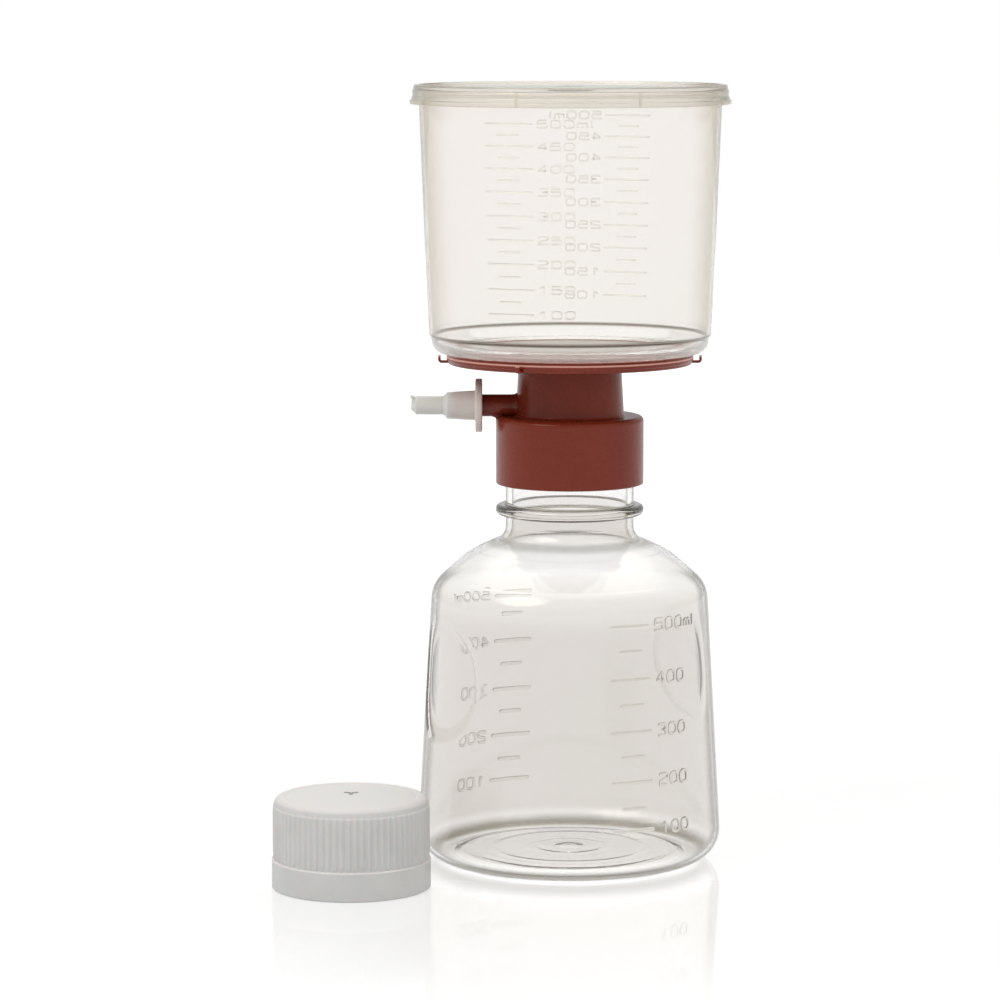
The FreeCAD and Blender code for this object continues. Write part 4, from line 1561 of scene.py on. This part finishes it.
    def gusset(self) -> Shell:
        """Soft web between the arm's underside and the collar's edge.

        Each layer of the web is a loop in length and height. A layer at a share s from
        -1 to 1 lies 2 s to the side. Beyond |s| = 0.8 it shrinks towards the loop's
        middle, by up to 0.175 at the cheeks, like a rounded box.

        Returns:
            The web's surface.
        """
        wall, top = -self.collar_r, self.ceiling_z + self.ceiling
        under = self.arm_z - self.arm_r
        loop = outline([(wall + 2.2, under + 1.5), (wall - 1.4, under + 1.5),
                        (wall - 1.2, under + 0.05, 0.2), (wall - 0.02, under - 0.1, 0.9),
                        (wall + 0.02, top - 2.2, 0.2), (wall + 2.2, top - 1.7)],
                       step=0.5, turn=15.0, hold=0.05)
        half_width, flat, rounding = 2.0, 0.8, 0.35
        share = np.sin(np.linspace(-math.pi / 2.0, math.pi / 2.0, 9))
        beyond = np.maximum(np.abs(share) - flat, 0.0) / (1.0 - flat)
        shrink = rounding * 0.5 * beyond[:, None, None]
        middle = loop.mean(axis=0)
        layers = middle + (loop - middle)[None, :, :] * (1.0 - shrink)
        side = np.repeat(share[:, None, None] * half_width, len(loop), axis=1)
        grid = np.concatenate([layers[:, :, :1], side, layers[:, :, 1:]], axis=2)
        return Shell.from_grid(capped(grid), closed_rows=False)

    def build(self) -> None:
        """Makes the moulding as one piece."""
        parts = [self.body(), self.ribs(), self.hooks(), self.arm(), self.gusset()]
        settle(Shell.joined(parts).piece("base_moulding", Finishes.BASE, sharp=45.0),
               Body.HEAD, "filter_base")


def along_arm(shell: Shell, start_x: float, height: float) -> Shell:
    """Lays a surface built up the Z axis along -X.

    A point (x, y, z) goes to (start_x - z, y, height + x).

    Args:
        shell: The surface.
        start_x: Where its foot comes to lie along X.
        height: Height of its axis.

    Returns:
        The laid surface, with its faces turned outwards.
    """
    x, y, z = shell.points.T
    laid = np.stack([start_x - z, y, height + x], axis=1)
    return Shell(laid, shell.quads, shell.tris).turned_outwards()


@dataclass
class UpperChamber:
    """Clear tapered cup with a lip over the membrane, a rim bead and a raised scale."""

    top_z: float = 249.6
    foot_z: float = 165.4
    bead_r: float = 49.6
    bead_reach: float = 0.95
    bead_height: float = 2.0
    wall: float = 1.2
    crease_r: float = 45.6
    crease_z: float = 171.4
    foot_r: float = 44.25
    foot_radius: float = 3.9
    seat_r: float = 39.1
    opening_r: float = 37.0
    lip_z: float = 166.5
    marks: tuple[float, ...] = (240.3, 233.3, 226.3, 219.1, 211.5, 204.0, 196.5, 188.5,
                                180.7)

    @classmethod
    def from_frame(cls) -> "UpperChamber":
        """Reads the chamber's size, and the height of its lip from the membrane.

        Returns:
            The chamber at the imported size.
        """
        low, high = box_mm("upper_chamber")
        _, membrane_high = box_mm("filter_membrane")
        return cls(top_z=high[2], foot_z=low[2], bead_r=half_size(low, high),
                   lip_z=membrane_high[2])

    def wall_radius(self, height: Array) -> Array:
        """Radius of the tapered wall, straight from the crease to the bead.

        Args:
            height: Heights on the wall.

        Returns:
            The radius at each.
        """
        top_r, top_z = self.bead_r - self.bead_reach, self.top_z - self.bead_height
        share = (height - self.crease_z) / (top_z - self.crease_z)
        return self.crease_r + (top_r - self.crease_r) * share

    def corners(self) -> list[Corner]:
        """Half section of the cup.

        Returns:
            Corners from the lip's opening down, out and up to the bead, and back
            inside.
        """
        wall_top_r, bead_z = self.bead_r - self.bead_reach, self.top_z - self.bead_height
        step_r, step_z = self.crease_r - 0.65, self.crease_z - 0.8
        inner_z = self.lip_z + self.wall
        return [(self.opening_r, self.lip_z, 0.2), (self.seat_r, self.lip_z, 0.1),
                (self.seat_r, self.foot_z, 0.15),
                (self.foot_r, self.foot_z, self.foot_radius),
                (step_r, step_z, 0.25), (self.crease_r, self.crease_z, 0.3),
                (wall_top_r, bead_z, 0.3), (self.bead_r, bead_z, 0.45),
                (self.bead_r, self.top_z, 0.5), (wall_top_r - self.wall, self.top_z, 0.35),
                (self.crease_r - self.wall, self.crease_z, 0.3),
                (step_r - self.wall, step_z, 0.3),
                (self.foot_r - self.wall, inner_z, self.foot_radius - self.wall - 0.1),
                (self.opening_r, inner_z, 0.5)]

    def scale(self) -> Scale:
        """The raised scale left of the front and right of the back.

        Returns:
            The scale, with a short line halfway between numbers.
        """
        long_line, short_line = (-34.7, -15.0), (-29.5, -20.5)
        marks = [Mark(height, *long_line, str(500 - 50 * k) + ("ml" if k == 0 else ""))
                 for k, height in enumerate(self.marks)]
        halves = [(upper + lower) / 2.0 for upper, lower in zip(self.marks, self.marks[1:])]
        marks += [Mark(height, *short_line) for height in halves]
        return Scale(marks, self.wall_radius, label_azimuth=-13.2, letter=(3.0, 2.3),
                     advance=4.2, line_width=0.5, stroke_width=0.5, relief=0.2)

    def build(self) -> None:
        """Makes the cup and its scale."""
        cup = lathe(outline(self.corners(), step=4.0), full_turn(256))
        settle(cup.piece("chamber_wall", Finishes.CHAMBER, sharp=60.0), Body.HEAD,
               "upper_chamber")
        settle(self.scale().shell().piece("chamber_scale", Finishes.CHAMBER_MARKS, sharp=50.0),
               Body.HEAD)


@dataclass
class FilterStack:
    """What lies under the chamber: the membrane on its slotted plate."""

    membrane_r: float = 38.5
    low_z: float = 166.3
    high_z: float = 166.5

    @classmethod
    def from_frame(cls) -> "FilterStack":
        """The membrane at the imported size."""
        low, high = box_mm("filter_membrane")
        return cls(half_size(low, high), low[2], high[2])

    def build(self, nodes: dict[str, bpy.types.Object]) -> None:
        """Makes the membrane, and dresses the plate that the frame already shows.

        Args:
            nodes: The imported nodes' objects by name.
        """
        edge = [(0.0, self.low_z), (self.membrane_r, self.low_z, 0.06),
                (self.membrane_r, self.high_z, 0.06), (0.0, self.high_z)]
        disc = lathe(outline(edge, closed=False, hold=0.04), full_turn(192), closed=False)
        settle(disc.piece("membrane_disc", Finishes.MEMBRANE), Body.HEAD,
               "filter_membrane")
        dress(nodes["support_plate"], Finishes.PLATE)


def dress(node: bpy.types.Object, finish: Finish) -> None:
    """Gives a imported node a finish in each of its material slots.

    Args:
        node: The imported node's object.
        finish: The finish.
    """
    for place in node.material_slots:
        place.material = finish.material()
    log.info("%s: packed shape, finish %s", node.name, finish.name)


@dataclass
class ChamberLid:
    """Loose clear lid: plate, stacking rim, stepped skirt and inner ribs."""

    top_z: float = 251.5
    skirt_z: float = 245.2
    lip_r: float = 51.6
    under_z: float = 249.6
    bead_r: float = 49.6
    play: float = 0.35
    rib_count: int = 8
    rib_first: float = 2.0

    @classmethod
    def from_frame(cls) -> "ChamberLid":
        """Reads the lid's size, and that of the chamber under it.

        Returns:
            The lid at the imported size.
        """
        low, high = box_mm("chamber_lid")
        chamber_low, chamber_high = box_mm("upper_chamber")
        return cls(top_z=high[2], skirt_z=low[2], lip_r=half_size(low, high),
                   under_z=chamber_high[2], bead_r=half_size(chamber_low, chamber_high))

    def corners(self) -> list[Corner]:
        """Half section of the lid.

        Returns:
            Corners from the middle of its underside to that of its top.
        """
        bore, plate_z = self.bead_r + self.play, self.under_z + 1.2
        top_r, waist_r = bore + 0.3, bore + 0.9
        return [(0.0, self.under_z), (bore, self.under_z, 0.25), (bore, self.skirt_z, 0.25),
                (self.lip_r, self.skirt_z, 0.35), (self.lip_r, self.skirt_z + 1.4, 0.35),
                (waist_r + 0.2, self.skirt_z + 1.6, 0.15), (waist_r, self.under_z - 1.9, 0.2),
                (waist_r - 0.25, self.under_z - 1.6, 0.2), (waist_r - 0.1, self.under_z, 0.2),
                (top_r + 0.15, self.under_z + 0.3, 0.15), (top_r, self.top_z, 0.6),
                (top_r - 1.4, self.top_z, 0.45), (top_r - 1.8, plate_z, 0.3),
                (5.2, plate_z, 0.3), (4.4, plate_z - 0.25, 0.3), (0.0, plate_z - 0.3)]

    def ribs(self) -> Shell:
        """Small upright ribs inside the skirt that keep the lid from sealing.

        Returns:
            All ribs in one surface.
        """
        gap = self.bead_r + 0.12
        depth = self.bead_r + self.play + 0.4 - gap
        middle = -gap - depth / 2.0
        path = np.linspace((middle, self.skirt_z + 0.4), (middle, self.under_z + 0.2), 5)
        rib = carried(rounded_section(0.9, depth, radius=0.12), path)
        step = 360.0 / self.rib_count
        return rib.repeated(self.rib_first + step * (k + 0.5) for k in range(self.rib_count))

    def build(self) -> None:
        """Makes the lid as one piece."""
        plate = lathe(outline(self.corners(), closed=False, step=4.0), full_turn(256),
                      closed=False)
        settle(Shell.joined([plate, self.ribs()]).piece("lid_plate", Finishes.LID, 50.0),
               Body.LID, "chamber_lid")


# --- Hose adapter, plug, seal and cap ---


@dataclass
class HoseAdapter:
    """Milky stepped adapter with a finger flange and a torn-off gate stub."""

    face_x: float = -28.3
    end_x: float = -51.3
    axis_z: float = 148.1
    flange_r: float = 8.7
    flange: float = 2.3
    socket_r: float = 3.65
    body_r: float = 4.85
    body_end_r: float = 4.3
    body_length: float = 11.4
    socket_depth: float = 10.9
    tip_r: float = 3.0
    nib_lean: float = 48.0

    @classmethod
    def from_frame(cls) -> "HoseAdapter":
        """Reads the adapter's size from the frame.

        Returns:
            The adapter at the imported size.
        """
        low, high = box_mm("hose_adapter")
        return cls(face_x=high[0], end_x=low[0], axis_z=(low[2] + high[2]) / 2.0,
                   flange_r=half_size(low, high, axis=2))

    def corners(self) -> list[Corner]:
        """Half section along the adapter.

        Returns:
            Corners from the flange's face to the nose, and back through the bore.
        """
        length = self.face_x - self.end_x
        nose, body = length - 1.6, self.body_length
        return [(self.socket_r, 0.0, 0.3), (self.flange_r, 0.0, 0.55),
                (self.flange_r, self.flange, 0.55), (self.body_r, self.flange, 0.5),
                (self.body_end_r + 0.2, body - 2.2, 2.0), (self.body_end_r, body, 0.6),
                (self.tip_r, body + 1.3, 0.5), (self.tip_r, nose, 0.5),
                (1.45, length, 0.2), (1.1, length, 0.1),
                (1.1, self.socket_depth + 1.0, 0.2), (self.socket_r, self.socket_depth, 0.2)]

    def nib(self) -> Shell:
        """Torn-off gate stub on the upper edge of the nose.

        Returns:
            A cone that leans by an angle a: (x cos a - z sin a, y, x sin a + z cos a).
        """
        cone = lathe(outline([(0.0, -0.8), (0.95, -0.8, 0.1), (0.45, 1.3, 0.35), (0.0, 1.4)],
                             closed=False, step=0.5), full_turn(24), closed=False)
        x, y, z = cone.points.T
        lean = math.radians(self.nib_lean)
        points = np.stack([x * math.cos(lean) - z * math.sin(lean), y,
                           x * math.sin(lean) + z * math.cos(lean)], axis=1)
        leaning = Shell(points, cone.quads, cone.tris)
        return leaning.moved(x=self.end_x + 0.75, z=self.axis_z + 2.25)

    def build(self) -> None:
        """Makes the adapter as one piece."""
        tube = along_arm(lathe(outline(self.corners(), step=1.5), full_turn(96)),
                         self.face_x, self.axis_z)
        settle(Shell.joined([tube, self.nib()]).piece("adapter_tube", Finishes.ADAPTER, 50.0),
               Body.ADAPTER, "hose_adapter")


@dataclass
class CottonPlug:
    """Wad of cotton in the end of the side arm."""

    start_x: float = -30.7
    end_x: float = -38.2
    axis_z: float = 148.1
    radius: float = 2.15
    unevenness: float = 0.07

    @classmethod
    def from_frame(cls) -> "CottonPlug":
        """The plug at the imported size."""
        low, high = box_mm("cotton_plug")
        return cls(high[0], low[0], (low[2] + high[2]) / 2.0, half_size(low, high, axis=2))

    def lumps(self, radius: Array, azimuth: Array, height: Array) -> Array:
        """Uneven surface: the radius shrinks by a share along three crossed waves.

        Args:
            radius: Radius of each point.
            azimuth: Its azimuth, in radians.
            height: Its height.

        Returns:
            The extra radius, never positive.
        """
        waves = (np.sin(3.0 * azimuth + 1.7 * height) + np.sin(5.0 * azimuth - 2.3 * height)
                 + np.sin(8.0 * azimuth + 4.1 * height))
        return -radius * self.unevenness * (0.5 + waves / 6.0)

    def build(self) -> None:
        """Makes the plug as one piece."""
        length = self.start_x - self.end_x
        corners = [(0.0, 0.0), (self.radius, 0.0, 0.9), (self.radius, length, 0.9),
                   (0.0, length)]
        points = outline(corners, closed=False, step=0.4)
        plug = lathe(points, full_turn(48), closed=False, swell=self.lumps)
        settle(along_arm(plug, self.start_x, self.axis_z).piece("cotton_wad",
                                                                Finishes.COTTON),
               Body.HEAD, "cotton_plug")


@dataclass
class NeckSeal:
    """Soft ring between the collar's ceiling and the bottle's mouth."""

    low_z: float = 141.9
    high_z: float = 143.1
    outer_r: float = 22.2
    inner_r: float = 17.2

    @classmethod
    def from_frame(cls) -> "NeckSeal":
        """Reads the ring's size from the frame.

        Returns:
            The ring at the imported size.
        """
        low, high = box_mm("neck_seal")
        outer = half_size(low, high)
        width = 5.0
        return cls(low[2], high[2], outer, outer - width)

    def build(self) -> None:
        """Makes the ring as one piece."""
        corners = [(self.inner_r, self.low_z, 0.3), (self.outer_r, self.low_z, 0.3),
                   (self.outer_r, self.high_z, 0.3), (self.inner_r, self.high_z, 0.3)]
        ring = lathe(outline(corners, step=1.5), full_turn(160))
        settle(ring.piece("seal_ring", Finishes.SEAL), Body.SEAL, "neck_seal")


@dataclass
class ReceiverCap:
    """White screw cap of the bottle: plain band, ribbed skirt, crowned top, thread."""

    middle: tuple[float, float] = (-69.6, -47.0)
    height: float = 29.0
    crown: float = 1.1
    crown_r: float = 20.6
    band_r: float = 25.15
    band_z: float = 9.3
    root_r: float = 24.4
    rib_height: float = 0.4
    rib_count: int = 72
    rib_top_z: float = 26.8
    bore_r: float = 22.65
    thread_z: float = 7.5
    columns_per_rib: int = 6

    @classmethod
    def from_frame(cls) -> "ReceiverCap":
        """Reads the cap's size and place from the frame.

        Returns:
            The cap at its packed size and place.
        """
        low, high = box_mm("receiver_cap")
        middle = (low + high) / 2.0
        band_r = half_size(low, high)
        band_step, wall = 0.75, 2.5
        return cls(middle=(middle[0], middle[1]), height=high[2], band_r=band_r,
                   root_r=band_r - band_step, bore_r=band_r - wall)

    def crown_z(self, radius: float) -> float:
        """Height of the crowned top: it falls by the crown times (r / crown_r)^2."""
        return self.height - 0.3 + self.crown * (1.0 - (radius / self.crown_r) ** 2)

    def corners(self) -> list[Corner]:
        """Half section of the cap.

        Returns:
            Corners from the middle of the top, outside down, then inside up.
        """
        inner_top = self.height - 2.1
        plug_r, plug_z = self.bore_r - 4.05, inner_top - 3.6
        top = [(radius, self.crown_z(radius)) for radius in (0.0, 4.0, 8.0, 12.0, 16.0)]
        return top + [
                (self.crown_r, self.crown_z(self.crown_r), 0.3),
                (self.crown_r + 0.8, self.height, 0.5),
                (self.root_r, self.height, 2.4), (self.root_r, self.band_z, 0.2),
                (self.band_r, self.band_z, 0.4), (self.band_r, 0.0, 0.5),
                (self.bore_r, 0.0, 0.4), (self.bore_r, inner_top, 0.6),
                (plug_r, inner_top, 0.2), (plug_r, plug_z, 0.4),
                (plug_r - 1.2, plug_z, 0.4), (plug_r - 1.2, inner_top, 0.2),
                (0.0, inner_top)]

    def ribs(self, radius: Array, azimuth: Array, height: Array) -> Array:
        """Extra radius of the ribs.

        Around the cap each rib rises and falls as a wave cut off flat on its top and in
        its valley. It starts just above the band and fades into the shoulder.

        Args:
            radius: Radius of each point.
            azimuth: Its azimuth, in radians.
            height: Its height.

        Returns:
            The extra radius.
        """
        wave = np.cos(azimuth * self.rib_count)
        valley, top = -0.55, 0.35
        tooth = smooth_step(valley, top, wave)
        rise = smooth_step(self.band_z + 0.1, self.band_z + 0.5, height)
        fall = 1.0 - smooth_step(self.rib_top_z - 1.0, self.rib_top_z + 0.6, height)
        outside = radius > self.root_r - 0.8
        return np.where(outside, self.rib_height * tooth * rise * fall, 0.0)

    def swell(self, radius: Array, azimuth: Array, height: Array) -> Array:
        """Extra radius of the ribs outside and of the thread inside."""
        thread = NeckThread.inside(self.thread_z, self.bore_r)
        return self.ribs(radius, azimuth, height) + thread.swell(radius, azimuth, height)

    def gate(self) -> Shell:
        """Three-armed gate mark on the middle of the top.

        Returns:
            All arms in one surface.
        """
        level = self.crown_z(0.0) - 0.1
        path = np.linspace((0.5, level), (2.3, level), 6)
        arm = carried(rounded_section(1.3, 0.5, radius=0.15), path)
        return arm.repeated((60.0, 180.0, 300.0))

    def build(self) -> None:
        """Makes the cap as one piece."""
        points = outline(self.corners(), closed=False, step=2.5, turn=12.0)
        rows = np.linspace(3.2, 15.8, 44)
        points = closer_rows(points, self.bore_r, rows, margin=0.2)
        cap = lathe(points, full_turn(self.rib_count * self.columns_per_rib), closed=False,
                    swell=self.swell)
        cap = cap.moved(x=self.middle[0], y=self.middle[1])
        mark = self.gate().moved(x=self.middle[0], y=self.middle[1])
        settle(cap.piece("cap_shell", Finishes.CAP, sharp=50.0), Body.CAP,
               "receiver_cap")
        # The gate mark carries painted shade: a dark grey for the shade of a recess.
        settle(mark.piece("cap_gate_mark", Finishes.CAP_MARK_SHADE), Body.CAP,
               "receiver_cap")


# --- Studio ---


@dataclass
class Lamp:
    """A soft white area lamp: its place and size in metres, and its power."""

    name: str
    place: tuple[float, float, float]
    aim: tuple[float, float, float]
    size: float
    watts: float

    def build(self) -> None:
        """Puts the lamp in the scene, facing its aim."""
        data = bpy.data.lights.new(self.name, "AREA")
        data.shape = "DISK"
        data.size = self.size
        data.energy = self.watts
        thing = in_scene(self.name, data)
        thing.location = self.place
        way = np.array(self.aim) - np.array(self.place)
        tilt = math.atan2(math.hypot(way[0], way[1]), -way[2])
        thing.rotation_euler = (tilt, 0.0, math.atan2(way[0], -way[1]) + math.pi)
        thing.visible_glossy = False
        thing.visible_transmission = False


@dataclass(frozen=True)
class Card:
    """A soft-edged patch of light that shows in glossy and clear surfaces.

    Attributes:
        way: Direction of its middle.
        reach: Angles from the middle, in degrees, where it starts to fade and ends.
        light: How bright it is.
    """

    way: tuple[float, float, float]
    reach: tuple[float, float]
    light: float

    def glow(self, tree: ShaderTree, direction: Signal) -> Signal:
        """Brightness of the card, full near its middle and fading to its edge.

        Args:
            tree: The nodes of the world.
            direction: The direction that is looked along.

        Returns:
            The brightness.
        """
        middle = np.array(self.way) / np.linalg.norm(self.way)
        near = tree.node("ShaderNodeVectorMath", {"operation": "DOT_PRODUCT"},
                         {0: direction, 1: tuple(float(value) for value in middle)}, "Value")
        inner, outer = (math.cos(math.radians(angle)) for angle in self.reach)
        return near.between(outer, inner) * self.light


@dataclass
class Studio:
    """Glossy pale floor, a white backdrop opposite the camera, soft lamps, the camera."""

    floor_size: float = 6.0
    floor_z: float = -5e-05
    lens: float = 149.4
    sensor: float = 36.0
    camera_place: tuple[float, float, float] = (-0.0226, -1.336, 0.2813)
    camera_tilt: float = 7.0
    floor_share: float = 0.25
    floor_glow: float = 0.78
    glow_rise: tuple[float, float] = (0.2, 1.2)
    mirror_fade: tuple[float, float] = (0.11, 0.23)
    mirror_ior: float = 1.75
    room_light: float = 0.62
    room_colour: Colour = (1.0, 0.995, 0.985)
    backdrop_edge: tuple[float, float] = (0.6, 0.97)
    backdrop_mirrored: float = 0.72
    backdrop_lift: float = 1.07
    side_grey: Colour = (0.76, 0.73, 0.62)
    cards: tuple[Card, ...] = (
        Card(way=(0.0, 0.25, 1.0), reach=(15.0, 48.0), light=2.2),
        Card(way=(-0.557, -0.435, 0.707), reach=(8.0, 24.0), light=5.0),
    )
    lamps: list[Lamp] = field(default_factory=lambda: [
        Lamp("key_lamp", (-0.9, -0.9, 1.3), (0.0, 0.0, 0.12), size=0.7, watts=9.0),
        Lamp("fill_lamp", (1.25, -0.55, 0.7), (0.0, 0.0, 0.12), size=0.8, watts=3.0),
        Lamp("back_lamp", (0.3, 1.3, 1.1), (0.0, 0.0, 0.15), size=0.9, watts=7.0),
    ])

    def camera(self) -> None:
        """Puts the camera in front of the unit, tilted a little down."""
        data = bpy.data.cameras.new("camera")
        data.lens = self.lens
        data.sensor_width = self.sensor
        thing = in_scene("camera", data)
        thing.location = self.camera_place
        thing.rotation_euler = (math.radians(90.0 - self.camera_tilt), 0.0, 0.0)
        bpy.context.scene.camera = thing

    def floor_finish(self, tree: ShaderTree) -> Signal:
        """White glossy floor.

        Most of its white glows, so that it meets the white room without a line, and the
        rest is lit, so that pieces cast a faint shadow. It mirrors more the flatter it
        is seen, and the mirror image fades with the distance r from the unit's axis.

        Args:
            tree: The nodes of the floor's material.

        Returns:
            The shader.
        """
        grey = (self.floor_share, self.floor_share, self.floor_share, 1.0)
        lit = tree.node("ShaderNodeBsdfDiffuse", {}, {"Color": grey})
        away = tree.node("ShaderNodeVectorMath", {"operation": "LENGTH"}, {0: tree.place()},
                         "Value")
        own = tree.glow(self.floor_glow + away.between(*self.glow_rise) * self.floor_share)
        surface = tree.node("ShaderNodeAddShader", {}, {0: lit, 1: own})
        cloth = tree.node("ShaderNodeBsdfDiffuse", {}, {"Color": (0.8, 0.8, 0.8, 1.0)})
        gain = 1.0 / self.backdrop_mirrored
        glossy = tree.node("ShaderNodeBsdfGlossy", {}, {"Roughness": 0.04,
                                                       "Color": (gain, gain, gain, 1.0)})
        flat = tree.node("ShaderNodeFresnel", {}, {"IOR": self.mirror_ior})
        share = flat * (1.0 - away.between(*self.mirror_fade))
        mirrored = tree.choice(share, surface, glossy)
        plain = tree.choice(tree.ray("Is Camera Ray"), cloth, mirrored)
        seen = tree.choice(tree.ray("Is Glossy Ray"), plain, tree.glow(1.0))
        return tree.choice(tree.ray("Is Transmission Ray"), seen,
                           tree.glow(self.backdrop_lift))

    def floor(self) -> None:
        """Wide floor just under the bench plane."""
        half = self.floor_size / 2.0
        mesh = bpy.data.meshes.new("floor")
        corners = [(x * half, y * half, self.floor_z)
                   for x, y in ((-1.0, -1.0), (1.0, -1.0), (1.0, 1.0), (-1.0, 1.0))]
        mesh.from_pydata(corners, [], [(0, 1, 2, 3)])
        made = bpy.data.materials.new("glossy_floor")
        tree = ShaderTree(made)
        tree.finish(self.floor_finish(tree))
        mesh.materials.append(made)
        thing = in_scene("floor", mesh)

    def room(self) -> None:
        """White room for the camera, and a set of cards for reflections and clear pieces.

        Rays that go on away from the camera meet the white backdrop. Rays that turn
        sideways or back meet the grey of the room, and some meet the soft cards. The
        backdrop is told by the ray's direction in the camera's own space.
        """
        world = bpy.data.worlds.new("room")
        bpy.context.scene.world = world
        tree = ShaderTree(world)
        way = tree.node("ShaderNodeTexCoord", output="Generated")
        own = tree.node("ShaderNodeVectorTransform",
                        {"vector_type": "VECTOR", "convert_from": "WORLD",
                         "convert_to": "CAMERA"}, {0: way})
        ahead = tree.node("ShaderNodeSeparateXYZ", {}, {0: own}, "Z")
        camera, glossy, through = (tree.ray(kind) for kind in (
            "Is Camera Ray", "Is Glossy Ray", "Is Transmission Ray"))
        backdrop = ahead.between(*self.backdrop_edge)
        dimmed = 1.0 - glossy * (1.0 - through) * (1.0 - self.backdrop_mirrored)
        walls = tree.blend(backdrop.largest(camera), self.side_grey, (1.0, 1.0, 1.0))
        glow = self.cards[0].glow(tree, way)
        for card in self.cards[1:]:
            glow = glow + card.glow(tree, way)
        sight = tree.node("ShaderNodeBackground", {}, {
            "Color": walls,
            "Strength": dimmed + glow * (1.0 - camera) + through * (self.backdrop_lift - 1.0)})
        light = tree.node("ShaderNodeBackground", {}, {
            "Color": (*self.room_colour, 1.0), "Strength": self.room_light})
        seen = camera.largest(glossy).largest(through)
        tree.finish(tree.choice(seen, light, sight), "ShaderNodeOutputWorld")

    def build(self) -> None:
        """Sets up camera, floor, room and lamps."""
        bpy.context.scene.view_settings.view_transform = "Standard"
        self.camera()
        self.floor()
        self.room()
        for lamp in self.lamps:
            lamp.build()


def main() -> None:
    """Builds the unit in order and reports each piece."""
    logging.basicConfig(level=logging.INFO, format="%(message)s")
    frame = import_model()
    Studio().build()
    ReceiverBottle.from_frame().build()
    FilterBase.from_frame().build()
    FilterStack.from_frame().build(frame["nodes"])
    UpperChamber.from_frame().build()
    ChamberLid.from_frame().build()
    HoseAdapter.from_frame().build()
    CottonPlug.from_frame().build()
    NeckSeal.from_frame().build()
    ReceiverCap.from_frame().build()


if __name__ == "__main__":
    main()
